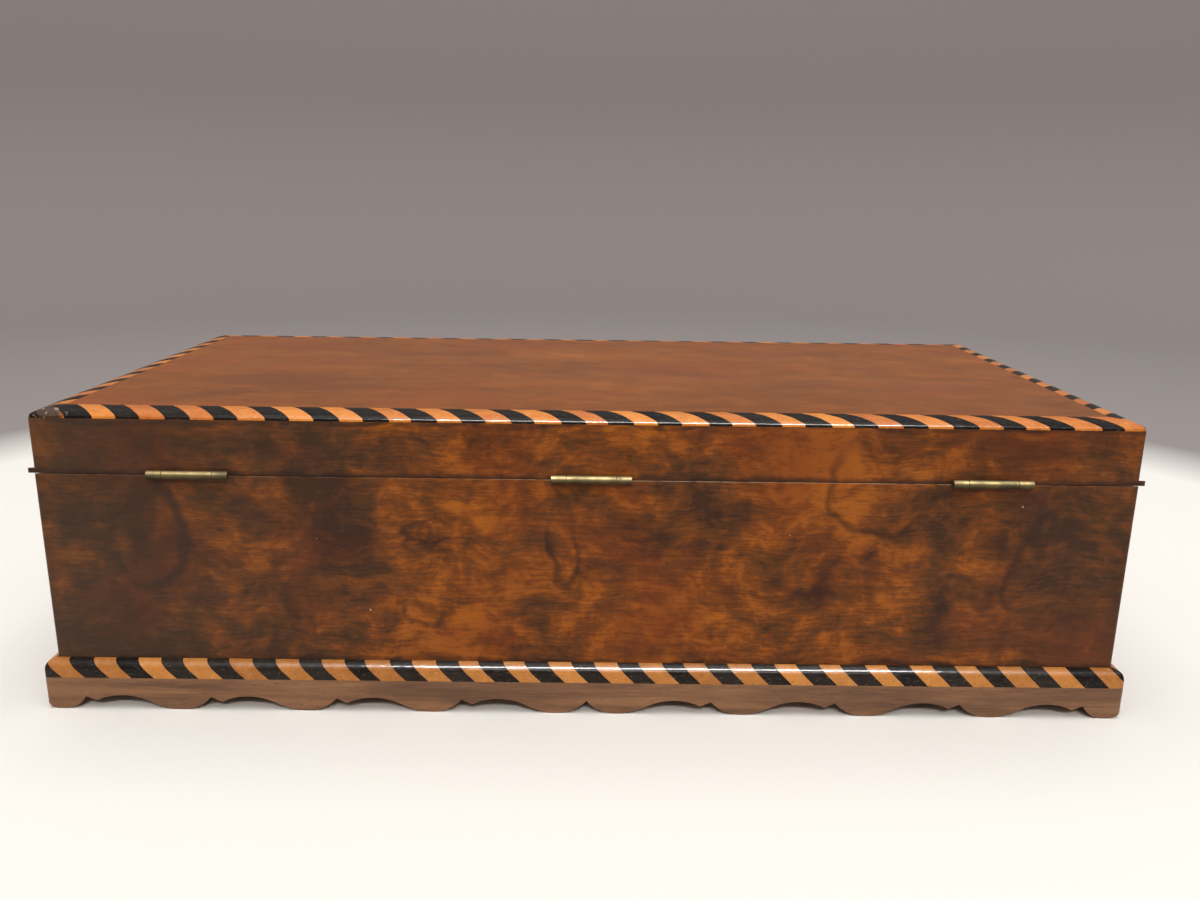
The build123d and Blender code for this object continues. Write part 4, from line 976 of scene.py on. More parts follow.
@dataclass(frozen=True)
class PressedGlass:
    """Thick clear glass, pressed and ground: slightly green, with dried ink clouding the floor."""

    name: str
    clouded: str = "#DCE8E2"
    clear: str = "#EEF4F0"

    def build(self) -> bpy.types.Material:
        """Builds the glass.

        Returns:
            The finished material.
        """
        s = Shading(self.name, Transmission_Weight=1.0, IOR=1.5)
        place = s.add("TexCoord", take="Object")
        cloud = s.add("TexNoise", {"Vector": place, "Scale": per_metre(12), "Detail": 3.0}, "Fac")
        tint = s.add("Mix", (cloud, linear(self.clouded), linear(self.clear)), data_type="RGBA")
        return s.join(tint, s.add("Math", (cloud, 0.06), operation="MULTIPLY"), None, 0.0)


# ------------------------------------------------------------------ meshes

class Slot(Enum):
    """Material slots of the part."""

    FIGURED_WALNUT = "figured_walnut"
    PLAIN_WALNUT = "plain_walnut"
    STAINED_BOXWOOD = "stained_boxwood"
    EBONISED_WOOD = "ebonised_wood"
    TARNISHED_BRASS = "tarnished_brass"
    BRASS = "brass"
    TOOLED_LEATHER = "tooled_leather"
    LINING_PAPER = "lining_paper"
    INK_GLASS = "ink_glass"


def mesh_from(name: str, points: np.ndarray, faces: np.ndarray) -> bpy.types.Mesh:
    """Mesh of points and faces.

    Args:
        name: Name of the mesh.
        points: Array of corners, in metres.
        faces: Indices of each face's corners.

    Returns:
        The mesh.
    """
    mesh = bpy.data.meshes.new(name)
    mesh.from_pydata(points.tolist(), [], faces.tolist())
    mesh.update()
    return mesh


def shaded_mesh(work: bmesh.types.BMesh, name: str) -> bpy.types.Mesh:
    """Makes a mesh of a working copy, shaded smoothly except over its arrises.

    Args:
        work: The working copy, which is freed.
        name: Name of the mesh.

    Returns:
        The mesh.
    """
    mesh = bpy.data.meshes.new(name)
    work.to_mesh(mesh)
    work.free()
    mesh.shade_smooth()
    mesh.set_sharp_from_angle(angle=ARRIS_ANGLE)
    return mesh


def place_piece(
    mesh: bpy.types.Mesh, name: str, body: str, materials: list, replaced: tuple[str, ...]
) -> bpy.types.Object:
    """Makes a piece of a mesh, hangs it on its body and hides the CAD nodes that it stands for.

    Args:
        mesh: The finished mesh, in the row frame.
        name: Name of the piece.
        body: Body that it rides on.
        materials: Materials in the order of the mesh's indices.
        replaced: CAD nodes that it stands for.

    Returns:
        The piece.
    """
    piece = bpy.data.objects.new(name, mesh)
    bpy.context.scene.collection.objects.link(piece)
    mesh.materials.clear()
    for material in materials:
        mesh.materials.append(material)
    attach(piece, body)
    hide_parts(*replaced)
    LOG.info("%s: %d corners on %s", name, len(mesh.vertices), body)
    return piece


def dress(node: str, material: bpy.types.Material) -> None:
    """Gives a CAD node its finish.

    Args:
        node: The CAD node.
        material: Its finish.
    """
    data = NODES[node].data
    data.materials.clear()
    data.materials.append(material)
    LOG.info("%s: dressed in %s", node, material.name)


def merged_copy(node: str) -> bmesh.types.BMesh:
    """Working copy of a CAD node's mesh, with its loose triangles joined into flat faces.

    Args:
        node: The CAD node.

    Returns:
        The working copy.
    """
    work = bmesh.new()
    work.from_mesh(NODES[node].data)
    bmesh.ops.remove_doubles(work, verts=work.verts, dist=MERGED)
    bmesh.ops.dissolve_limit(work, angle_limit=math.radians(0.2), verts=work.verts, edges=work.edges)
    bmesh.ops.recalc_face_normals(work, faces=work.faces)
    return work


def ease(piece: bpy.types.Object, radius_mm: float, by_weight: bool = False) -> None:
    """Rounds a piece's arrises.

    Args:
        piece: The piece.
        radius_mm: Size of the rounding.
        by_weight: Rounds the edges that the mesh marks, and not those that turn sharply.
    """
    bevel = piece.modifiers.new("eased", "BEVEL")
    bevel.width = radius_mm * MM
    bevel.segments = 3
    bevel.limit_method = "WEIGHT" if by_weight else "ANGLE"
    bevel.angle_limit = ARRIS_ANGLE
    bevel.use_clamp_overlap = True
    bevel.harden_normals = True


def eased_node(node: str, material: bpy.types.Material, radius_mm: float, slot: Slot) -> None:
    """Stands a copy of a CAD node with rounded arrises in its place.

    Args:
        node: The CAD node.
        material: Its finish.
        radius_mm: Size of the rounding.
        slot: Not used.
    """
    mesh = shaded_mesh(merged_copy(node), f"{node}_eased")
    piece = place_piece(mesh, f"{node}_eased", BODY_OF[node], [material], (node,))
    ease(piece, radius_mm)


@dataclass(frozen=True)
class MitredBoard:
    """A board of a mitred frame, rounded in plan at the frame's corners and along its arrises.

    Its outer faces take the veneer and the rest the carcase wood. The two boards of a corner
    share the mitre plane, which the rounding keeps in place, so they still meet all over.
    """

    node: str
    veneer: bpy.types.Material
    carcase: bpy.types.Material
    slot: Slot
    half_x: float
    half_y: float
    corner_mm: float
    edge_mm: float = 0.4
    corner_cuts: int = 6
    on_face: float = 2e-5
    on_mitre: float = 1e-5

    def make(self) -> None:
        """Builds the board and stands it in the node's place."""
        work = merged_copy(self.node)
        self.sort_faces(work)
        self.round_corners(work)
        self.weigh_edges(work)
        name = f"{self.node}_eased"
        materials = [self.veneer, self.carcase]
        piece = place_piece(
            shaded_mesh(work, name), name, BODY_OF[self.node], materials, (self.node,)
        )
        ease(piece, self.edge_mm, by_weight=True)

    def sort_faces(self, work: bmesh.types.BMesh) -> None:
        """Marks the faces on the frame's outside for the veneer, and the rest for the carcase.

        Args:
            work: Working copy of the board.
        """
        for face in work.faces:
            centre = face.calc_center_median()
            off_side, off_back = abs(centre.x) - self.half_x * MM, abs(centre.y) - self.half_y * MM
            on_side = abs(off_side) < self.on_face and abs(face.normal.x) > 0.9
            on_back = abs(off_back) < self.on_face and abs(face.normal.y) > 0.9
            face.material_index = 0 if on_side or on_back else 1

    def round_corners(self, work: bmesh.types.BMesh) -> None:
        """Cuts the board across near the frame's corners and bends those parts round.

        In a corner's square of side r = corner_mm, a point at (u, v) from the square's inner
        corner moves to (u, v) * max(u, v) / |(u, v)|, so the square's rim becomes a quarter
        circle and its diagonal, the mitre, stays straight.

        Args:
            work: Working copy of the board.
        """
        radius = self.corner_mm * MM
        inner = Vector((self.half_x * MM - radius, self.half_y * MM - radius))
        tangents = [math.tan(angle) for angle in np.linspace(0, math.pi / 4, self.corner_cuts)]
        for axis, normal in enumerate((Vector((1, 0, 0)), Vector((0, 1, 0)))):
            for sign in (-1, 1):
                for share in tangents[:-1]:
                    near = [
                        face for face in work.faces
                        if share == 0.0
                        or any(abs(v.co.x) > inner[0] and abs(v.co.y) > inner[1] for v in face.verts)
                    ]
                    geometry = set(near)
                    for face in near:
                        geometry.update(face.edges)
                        geometry.update(face.verts)
                    place = normal * sign * (inner[axis] + radius * share)
                    bmesh.ops.bisect_plane(
                        work, geom=list(geometry), dist=1e-7, plane_co=place, plane_no=normal
                    )
        for vert in work.verts:
            u, v = abs(vert.co.x) - inner[0], abs(vert.co.y) - inner[1]
            if u > 1e-8 and v > 1e-8:
                share = max(u, v) / math.hypot(u, v)
                vert.co.x = math.copysign(inner[0] + u * share, vert.co.x)
                vert.co.y = math.copysign(inner[1] + v * share, vert.co.y)

    def weigh_edges(self, work: bmesh.types.BMesh) -> None:
        """Marks the arrises to round: every sharp edge that doesn't lie on a mitre plane.

        Args:
            work: Working copy of the board.
        """
        weight = work.edges.layers.float.new("bevel_weight_edge")
        gap = (self.half_x - self.half_y) * MM
        for edge in work.edges:
            mitred = all(abs(abs(v.co.x) - abs(v.co.y) - gap) < self.on_mitre for v in edge.verts)
            if len(edge.link_faces) == 2 and not mitred:
                edge[weight] = 1.0 if edge.calc_face_angle() > ARRIS_ANGLE else 0.0


# ------------------------------------------------------------------ bandings

@dataclass(frozen=True)
class SideRun:
    """One side of the box: the turn that takes a straight run onto it, and its place and length."""

    turn: float
    half_length: float
    out: float


@dataclass
class BlockBanding:
    """Light and dark blocks cut on the slant and let into an edge on all four sides.

    A block is a grid of three parameters: along the edge, round the profile, and from the outer
    skin to the bed. Its ends follow the slanting saw cut, and at a corner they are clamped to
    the mitre, where the faces that meet with nothing between them are taken out.
    """

    name: str
    body: str
    half_x: float
    half_y: float
    pitch: float
    start: float
    outer: np.ndarray
    bed: np.ndarray
    slant: np.ndarray
    bed_slant: np.ndarray
    seed: int
    light: bpy.types.Material
    dark: bpy.types.Material
    corner_radius: float = 3.5
    columns: int = 7
    cut_unevenness: float = 0.075
    shortest_block: float = 0.15

    def sides(self) -> list[SideRun]:
        """The four runs, in the order back, left, front and right.

        Returns:
            The runs.
        """
        return [
            SideRun(0.0, self.half_x, self.half_y),
            SideRun(math.pi / 2, self.half_y, self.half_x),
            SideRun(math.pi, self.half_x, self.half_y),
            SideRun(-math.pi / 2, self.half_y, self.half_x),
        ]

    def cuts(self, side: SideRun, rng: np.random.Generator) -> np.ndarray:
        """Places of the saw cuts along one run, from its right end, with a maker's unevenness.

        Args:
            side: The run.
            rng: Seeded source of the unevenness.

        Returns:
            Cut places, where even ones begin a light block.
        """
        step = self.pitch / 2
        spare = 6
        index = np.arange(-spare, math.ceil(2 * side.half_length / step) + spare)
        uneven = rng.uniform(-self.cut_unevenness, self.cut_unevenness, len(index))
        return self.start + index * step + uneven * step

    def layers(self, half: float, first: float, last: float) -> tuple[np.ndarray, np.ndarray]:
        """Skin and bed of one block, as grids of points round the profile and along the edge.

        Args:
            half: Half the length of the run.
            first: Start of the block on the skin's foot, from the right end.
            last: End of the block there.

        Returns:
            Two arrays of points, in millimetres.
        """
        grids = []
        for line, slant in ((self.outer, self.slant), (self.bed, self.bed_slant)):
            depth, height = line.T
            high = np.clip(half - first + slant, -(half - depth), half - depth)
            low = np.clip(half - last + slant, -(half - depth), half - depth)
            share = np.linspace(0.0, 1.0, self.columns)[None, :]
            along = low[:, None] + (high - low)[:, None] * share
            inward, up = (np.repeat(values[:, None], self.columns, 1) for values in (depth, height))
            grids.append(np.stack([along, -inward, up], axis=2))
        return grids[0], grids[1]

    def wear(self, skin: np.ndarray, rng: np.random.Generator) -> None:
        """Sinks a block's skin by up to 0.08 mm under the true profile, in two slow waves.

        Args:
            skin: Grid of the skin's points, which is changed.
            rng: Seeded source of the block's own waves.
        """
        # Each wave starts anywhere in its turn.
        phase = rng.uniform(0, 6.28, 3)
        dip = 0.03 + 0.025 * np.sin(skin[:, :, 0] * 1.1 + phase[0])
        dip += 0.02 * np.sin(skin[:, :, 0] * 2.7 - skin[:, :, 1] * 1.9 + phase[1]) + rng.uniform(0, 0.03)
        steps = np.gradient(self.outer, axis=0)
        size = np.linalg.norm(steps, axis=1)[:, None] + 1e-9
        normal = np.stack([steps[:, 1], -steps[:, 0]], axis=1) / size
        rows = np.arange(len(self.outer))
        inside = np.minimum(rows, rows[::-1])[:, None] > 0
        for axis in (0, 1):
            skin[:, :, axis + 1] -= np.abs(dip) * np.abs(normal[:, axis])[:, None] * inside

    def quads(self) -> np.ndarray:
        """Quads of a block's skin, bed, two ends and two long edges, over its two grids.

        Returns:
            Indices of each quad's corners, where the bed's points follow the skin's.
        """
        rows = len(self.outer)
        grid = np.arange(rows * self.columns).reshape(rows, self.columns)
        under = grid + rows * self.columns
        quads = [
            np.stack([grid[:-1, :-1], grid[:-1, 1:], grid[1:, 1:], grid[1:, :-1]], -1).reshape(-1, 4),
            np.stack([under[:-1, :-1], under[1:, :-1], under[1:, 1:], under[:-1, 1:]], -1).reshape(-1, 4),
        ]
        for column, flip in ((0, False), (self.columns - 1, True)):
            top, low = grid[:, column], under[:, column]
            quad = np.stack([top[:-1], top[1:], low[1:], low[:-1]], -1)
            quads.append(quad[:, ::-1] if flip else quad)
        for row, flip in ((0, False), (rows - 1, True)):
            top, low = grid[row], under[row]
            quad = np.stack([top[:-1], low[:-1], low[1:], top[1:]], -1)
            quads.append(quad[:, ::-1] if flip else quad)
        return np.concatenate(quads)

    def block(
        self, side: SideRun, first: float, last: float, rng: np.random.Generator
    ) -> tuple[np.ndarray, np.ndarray, np.ndarray] | None:
        """Corners, faces and stripe coordinates of one block, or None where it has no room.

        Args:
            side: The run that it lies on.
            first: Start of the block on the skin's foot, from the right end.
            last: End of the block there.
            rng: Seeded source of its small unevenness.

        Returns:
            Points in millimetres, quads, and (round, along) in metres for each point.
        """
        skin, bed = self.layers(side.half_length, first, last)
        if np.ptp(skin[:, :, 0], axis=1).max() < self.shortest_block:
            return None
        self.wear(skin, rng)
        points = np.concatenate([skin.reshape(-1, 3), bed.reshape(-1, 3)])
        length = np.concatenate([[0], np.cumsum(np.linalg.norm(np.diff(self.outer, axis=0), axis=1))])
        around = np.repeat(length[:, None], self.columns, 1).ravel()
        # The shift takes each block's fibres from their own stretch of wood.
        across = (skin[:, :, 0] - self.slant[:, None]).ravel() + rng.uniform(0, 500)
        stripe = np.stack([np.tile(around, 2), np.tile(across, 2)], -1) * MM
        return points, self.quads(), stripe

    def onto_side(self, points: np.ndarray, side: SideRun) -> np.ndarray:
        """Turns points of a straight run onto its side and rounds the worn corner in plan.

        Args:
            points: Corners with x along the run, y from the outer face and z up.
            side: The side.

        Returns:
            Corners in the row frame, in millimetres. Inside the corner's square, a point keeps
            its direction from the square's inner corner, and its square distance becomes a
            round one.
        """
        x, y, z = points.T
        y = y + side.out
        cos, sin = math.cos(side.turn), math.sin(side.turn)
        turned = np.stack([cos * x - sin * y, sin * x + cos * y, z], -1)
        inner = np.array([self.half_x, self.half_y]) - self.corner_radius
        over = np.abs(turned[:, :2]) - inner
        corner = (over > 0).all(axis=1)
        square = over[corner].max(axis=1)
        round_size = np.linalg.norm(over[corner], axis=1)
        over[corner] *= (square / round_size)[:, None]
        turned[corner, :2] = np.sign(turned[corner, :2]) * (inner + over[corner])
        return turned

    def make(self) -> None:
        """Builds the light and the dark blocks as two pieces."""
        rng = np.random.default_rng(self.seed)
        parts = {0: [], 1: []}
        for side in self.sides():
            cuts = self.cuts(side, rng)
            for index in range(len(cuts) - 1):
                made = self.block(side, cuts[index], cuts[index + 1], rng)
                tone = rng.uniform()
                if made is not None:
                    points, quads, stripe = made
                    parts[index % 2].append((self.onto_side(points, side) * MM, quads, stripe, tone))
        self.join_blocks(parts[0], "boxwood", self.light, Slot.STAINED_BOXWOOD)
        self.join_blocks(parts[1], "ebony", self.dark, Slot.EBONISED_WOOD)

    def join_blocks(self, parts: list, wood: str, material: bpy.types.Material, slot: Slot) -> None:
        """Joins the blocks of one wood into a piece.

        Args:
            parts: Points, quads, stripe coordinates and tone of each block.
            wood: Name of the wood.
            material: Its finish.
            slot: Not used.
        """
        sizes = np.array([len(part[0]) for part in parts])
        offsets = np.concatenate([[0], np.cumsum(sizes)[:-1]])
        points = np.concatenate([part[0] for part in parts])
        quads = np.concatenate([part[1] + offset for part, offset in zip(parts, offsets)])
        name = f"{self.name}_{wood}"
        mesh = mesh_from(name, points, quads)
        tone = mesh.attributes.new("tone", "FLOAT", "POINT")
        tone.data.foreach_set("value", np.repeat([part[3] for part in parts], sizes).astype(np.float32))
        stripe = np.concatenate([part[2] for part in parts])
        corners = np.zeros(len(mesh.loops), np.int32)
        mesh.loops.foreach_get("vertex_index", corners)
        uv = mesh.uv_layers.new(name="stripe")
        uv.data.foreach_set("uv", stripe[corners].astype(np.float32).ravel())
        self.clean(mesh)
        mesh.shade_smooth()
        mesh.set_sharp_from_angle(angle=BLOCK_ARRIS_ANGLE)
        place_piece(mesh, name, self.body, [material], (f"{name}_blocks",))

    @staticmethod
    def clean(mesh: bpy.types.Mesh) -> None:
        """Merges the clamped points of each block and takes out faces that lie back to back.

        Args:
            mesh: Mesh of all the blocks of one wood, which is changed.
        """
        work = bmesh.new()
        work.from_mesh(mesh)
        seen: dict[tuple, list] = {}
        bmesh.ops.remove_doubles(work, verts=work.verts, dist=MERGED)
        bmesh.ops.dissolve_degenerate(work, edges=work.edges, dist=0.1 * MERGED)
        for face in work.faces:
            seen.setdefault(tuple(sorted(v.index for v in face.verts)), []).append(face)
        doubled = [face for faces in seen.values() if len(faces) > 1 for face in faces]
        bmesh.ops.delete(work, geom=doubled, context="FACES")
        loose = [v for v in work.verts if not v.link_faces]
        bmesh.ops.delete(work, geom=loose, context="VERTS")
        bmesh.ops.recalc_face_normals(work, faces=work.faces)
        work.to_mesh(mesh)
        work.free()


# ------------------------------------------------------------------ studio

@dataclass
class Studio:
    """Pale floor that sweeps up into a plain grey wall, soft lamps and the camera."""

    floor_radius: float = 1.45
    cove_radius: float = 0.45
    wall_height: float = 1.25
    floor_colour: str = "#E6E1D8"
    wall_colour: str = "#827874"
    sky_colour: str = "#F4F6FA"
    sky_strength: float = 0.74
    aim: tuple[float, float, float] = (0.0, 0.0, 0.08)
    focal_pixels: float = 1017.228
    frame_pixels: float = 1200.0
    sensor_width: float = 36.0
    camera_place: tuple[float, float, float] = (-0.001404, 0.568617, 0.247478)
    pitch: float = 0.256052
    yaw: float = 0.007847
    roll: float = 0.014118

    def profile(self) -> np.ndarray:
        """Radius and height along the sweep: a flat floor, a quarter circle and an upright.

        Returns:
            Array of (radius, height), in metres.
        """
        turn = np.linspace(0, math.pi / 2, 14)[1:]
        cove = np.stack([np.sin(turn), 1 - np.cos(turn)], -1) * self.cove_radius
        flat = [(radius, 0.0) for radius in np.linspace(0, self.floor_radius, 12)]
        wall = (self.floor_radius + self.cove_radius, self.wall_height)
        return np.concatenate([flat, cove + (self.floor_radius, 0.0), [wall]])

    def backdrop(self) -> None:
        """Builds the floor, cove and wall as one surface: the profile turned about Z."""
        radius, height = self.profile().T[:, :, None]
        turn = np.linspace(0, 2 * math.pi, 97)[:-1]
        points = np.stack(
            [radius * np.cos(turn), radius * np.sin(turn), np.repeat(height, len(turn), 1)], axis=2
        )
        rows, columns = points.shape[:2]
        grid = np.arange(rows * columns).reshape(rows, columns)
        after = np.roll(grid, -1, axis=1)
        quads = np.stack([grid[:-1], after[:-1], after[1:], grid[1:]], -1).reshape(-1, 4)
        mesh = mesh_from("studio_floor", points.reshape(-1, 3), quads)
        work = bmesh.new()
        work.from_mesh(mesh)
        bmesh.ops.remove_doubles(work, verts=work.verts, dist=MERGED)
        work.to_mesh(mesh)
        work.free()
        mesh.shade_smooth()
        floor = bpy.data.objects.new("studio_floor", mesh)
        bpy.context.scene.collection.objects.link(floor)
        # Matt backdrop paper: no gloss, pale underfoot and grey further out.
        s = Shading("matt_paper_sweep")
        place = s.add("TexCoord", take="Object")
        reach = s.add("VectorMath", (place,), "Value", operation="LENGTH")
        far = s.add("ValToRGB", {"Fac": reach}, "Color", ((0.60, 0.0), (0.72, 1.0)))
        shades = (far, linear(self.floor_colour), linear(self.wall_colour))
        mesh.materials.append(s.join(s.add("Mix", shades, data_type="RGBA"), 0.9, None, 0.0))

    def lights(self) -> None:
        """Sets an even sky and three lamps.

        A long soft one stands behind the camera and a wide one hangs overhead. The third only
        makes the glints along the bandings, and sheds no diffuse light.
        """
        world = bpy.data.worlds.new("studio_sky")
        bpy.context.scene.world = world
        world.use_nodes = True
        sky = world.node_tree.nodes["Background"]
        sky.inputs["Color"].default_value = linear(self.sky_colour)
        sky.inputs["Strength"].default_value = self.sky_strength
        self.lamp("key_lamp", (-0.26, 2.45, 2.05), (1.4, 0.32), 38.0)
        self.lamp("top_lamp", (0.0, -0.2, 2.6), (2.2, 2.2), 36.0)
        glint = self.lamp("glint_lamp", (-0.2, 1.2, 2.4), (1.6, 0.5), 420.0)
        glint.visible_diffuse = False

    def lamp(
        self, name: str, place: tuple[float, float, float], size: tuple[float, float], power: float
    ) -> bpy.types.Object:
        """Adds an area lamp that looks at the middle of the object.

        Args:
            name: Name of the lamp.
            place: Its place in metres.
            size: Its width and height.
            power: Its power in watts.

        Returns:
            The lamp.
        """
        data = bpy.data.lights.new(name, "AREA")
        data.shape = "RECTANGLE"
        data.size, data.size_y = size
        data.energy = power
        lamp = bpy.data.objects.new(name, data)
        bpy.context.scene.collection.objects.link(lamp)
        lamp.location = place
        towards = Vector(self.aim) - Vector(place)
        lamp.rotation_euler = towards.to_track_quat("-Z", "Y").to_euler()
        return lamp

    def camera(self) -> None:
        """Sets the camera from its place, its pitch below the horizon, its yaw and its roll."""
        data = bpy.data.cameras.new("camera")
        data.sensor_width = self.sensor_width
        data.lens = self.focal_pixels / self.frame_pixels * self.sensor_width
        data.clip_start = 0.01
        camera = bpy.data.objects.new("camera", data)
        bpy.context.scene.collection.objects.link(camera)
        cp, sp = math.cos(self.pitch), math.sin(self.pitch)
        cy, sy = math.cos(self.yaw), math.sin(self.yaw)
        right = Vector((-cy, sy, 0.0))
        forward = Vector((-cp * sy, -cp * cy, -sp))
        up = Vector((-sp * sy, -sp * cy, cp))
        turned_right = math.cos(self.roll) * right + math.sin(self.roll) * up
        turned_up = math.cos(self.roll) * up - math.sin(self.roll) * right
        axes = Matrix((turned_right, turned_up, -forward)).transposed()
        camera.matrix_world = Matrix.Translation(self.camera_place) @ axes.to_4x4()
        bpy.context.scene.camera = camera

    def set_up(self) -> None:
        """Builds the whole studio."""
        self.backdrop()
        self.lights()
        self.camera()
        bpy.context.scene.view_settings.view_transform = "Standard"
        LOG.info("studio: floor, lamps and camera")


# ------------------------------------------------------------------ the box

class Finishes:
    """Every finish of the box, each built once and shared by the pieces that wear it."""

    def __init__(self) -> None:
        """Builds the finishes; the edges with painted shade and painted highlight come from the boards' own
        heights.
        """
        case_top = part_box("case_back_wall")[1].z / MM
        plinth_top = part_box("plinth_back")[1].z / MM
        self.case_back = FiguredWalnut(
            "figured_walnut_case_back", marks=CASE_FIGURE, upper_tone=CASE_UPPER_TONE,
            lower_tone=CASE_LOWER_TONE, right_dirt_and_shade=0.55, left_dirt_and_shade=0.25,
            worn_highlit_edge_mm=case_top, shade_above_mm=plinth_top,
        ).build()
        self.lid_back = FiguredWalnut(
            "figured_walnut_lid_back", marks=LID_FIGURE, upper_tone=LID_TONE,
            right_dirt_and_shade=0.65, left_dirt_and_shade=0.25, shade_above_mm=case_top - 0.6,
        ).build()
        self.front = FiguredWalnut("figured_walnut_front", shift_mm=(700, 0, 40)).build()
        self.ends = FiguredWalnut(
            "figured_walnut_ends", grain=Grain.FRONT_TO_BACK, shift_mm=(0, 500, 0)
        ).build()
        # The top's browns are lighter than the walls': painted sheen, where the light grazes the top.
        self.top = FiguredWalnut(
            "figured_walnut_top", shift_mm=(0, 0, 300), marks=TOP_FIGURE, marks_lie_flat=True,
            figure_mm=70, stretch=0.35, lines=0.1, contrast=0.55,
            deep="#6A3612", dull="#7C4416", middle="#90501A", bright="#AC6426", red="#8A451C",
        ).build()
        self.plain = PlainWalnut("plain_walnut").build()
        self.plain_ends = PlainWalnut("plain_walnut_ends", grain=Grain.FRONT_TO_BACK).build()
        self.boxwood = BandingWood(
            "orange_stained_boxwood", "#DC862E", "#B85E1A", "#6A4020", "#ECC088"
        ).build()
        self.ebony = BandingWood(
            "ebonised_pearwood", "#1E1710", "#0C0906", "#080706", "#6E6454", varnish=0.14, specular=0.04
        ).build()
        self.worn_boxwood = BandingWood(
            "worn_stained_boxwood", "#CC863E", "#A3642A", "#6A4424", "#E0B688", varnish=0.24
        ).build()
        self.worn_ebony = BandingWood(
            "worn_ebonised_pearwood", "#2C241E", "#17120F", "#0C0A08", "#786E60",
            varnish=0.16, specular=0.04,
        ).build()
        self.brass = RolledBrass("dulled_brass").build()
        self.satin_brass = RolledBrass(
            "satin_brass", metal="#AC9560", film="#756541", film_share=0.4
        ).build()
        self.rubbed_brass = RolledBrass(
            "rubbed_brass", metal="#B89B5E", film_share=0.2, roughness=0.3
        ).build()
        low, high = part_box("flap_leather")
        self.leather = SkiverLeather(
            "glazed_skiver",
            middle_y=(low.y + high.y) / 2,
            half_x=(high.x - low.x) / 2,
            half_y=(high.y - low.y) / 2,
            slope=math.atan2(high.z - low.z, high.y - low.y),
        ).build()
        self.paper = LiningPaper("plum_lining_paper").build()
        self.glass = PressedGlass("pressed_glass").build()
        self.case_veneers = self.by_side(self.case_back, self.front, self.ends)
        self.lid_veneers = self.by_side(self.lid_back, self.front, self.ends)
        self.carcase = self.by_side(self.plain, self.plain, self.plain_ends)

    @staticmethod
    def by_side(
        back: bpy.types.Material, front: bpy.types.Material, ends: bpy.types.Material
    ) -> dict[str, bpy.types.Material]:
        """Finish of each side of a frame."""
        return {"back": back, "front": front, "left": ends, "right": ends}


def arc(centre: np.ndarray, radius: float, start: float, end: float, count: int) -> list[np.ndarray]:
    """Points on an arc: its centre plus its radius times (cos t, sin t), t from start to end.

    Args:
        centre: Centre of the arc.
        radius: Its radius.
        start: Its first angle, from the first axis.
        end: Its last angle.
        count: How many points it has.

    Returns:
        The points.
    """
    turns = np.linspace(start, end, count)
    return [centre + radius * np.array([math.cos(turn), math.sin(turn)]) for turn in turns]


@dataclass
class Lid:
    """The lid: four mitred boards and their lips, a top in a block banding, and its lining."""

    finishes: Finishes
    crown: float = 10.0
    band_width: float = 12.2
    band_arris: float = 1.2
    band_round: float = 1.5
    block_pitch: float = 22.3
    block_start: float = 6.7
    corner_mm: float = 2.5
    top_edge_mm: float = 0.2
    lip_edge_mm: float = 0.3
    lining_edge_mm: float = 0.1
    seed: int = 11

    def banding(self) -> BlockBanding:
        """Banding of the rounded top edge; its blocks are cut across the edge at 45 degrees.

        Returns:
            The banding. Its profile is an upright, a small round and a wide crown whose circle
            passes through the round's top and lies level where the banding meets the top board.
        """
        low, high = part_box("lid_banding_boxwood_blocks")
        base, top = low.z / MM, high.z / MM
        drop = top - base - self.band_arris
        crown_radius = (self.crown**2 + drop**2) / (2 * drop)
        crown_centre = np.array([self.crown, top - crown_radius])
        inset = self.crown - self.band_round
        rise = math.sqrt((crown_radius - self.band_round) ** 2 - inset**2)
        round_centre = np.array([self.band_round, crown_centre[1] + rise])
        meeting = math.atan2(rise, -inset)
        outer = np.array(
            [(0.0, base), (0.0, 0.5 * (base + round_centre[1]))]
            + arc(round_centre, self.band_round, math.pi, meeting, 6)
            + arc(crown_centre, crown_radius, meeting, math.pi / 2, 9)[1:]
            + [(self.band_width, top)]
        )
        bed = np.stack([outer[:, 0], np.full(len(outer), base)], -1)
        return BlockBanding(
            "lid_banding", "lid", high.x / MM, high.y / MM, self.block_pitch, self.block_start,
            outer, bed, outer[:, 0], bed[:, 0], self.seed, self.finishes.boxwood, self.finishes.ebony,
        )

    def make(self) -> None:
        """Builds the banding, the boards, the top, the lips and the lining."""
        self.banding().make()
        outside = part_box("case_back_wall")[1]
        for side in SIDES:
            MitredBoard(
                f"lid_{side}_board", self.finishes.lid_veneers[side], self.finishes.carcase[side],
                Slot.FIGURED_WALNUT, outside.x / MM, outside.y / MM, self.corner_mm,
            ).make()
            veneer = self.finishes.lid_veneers[side]
            eased_node(f"lid_lip_{side}", veneer, self.lip_edge_mm, Slot.FIGURED_WALNUT)
        eased_node("lid_top_board", self.finishes.top, self.top_edge_mm, Slot.FIGURED_WALNUT)
        eased_node("lid_lining", self.finishes.paper, self.lining_edge_mm, Slot.LINING_PAPER)


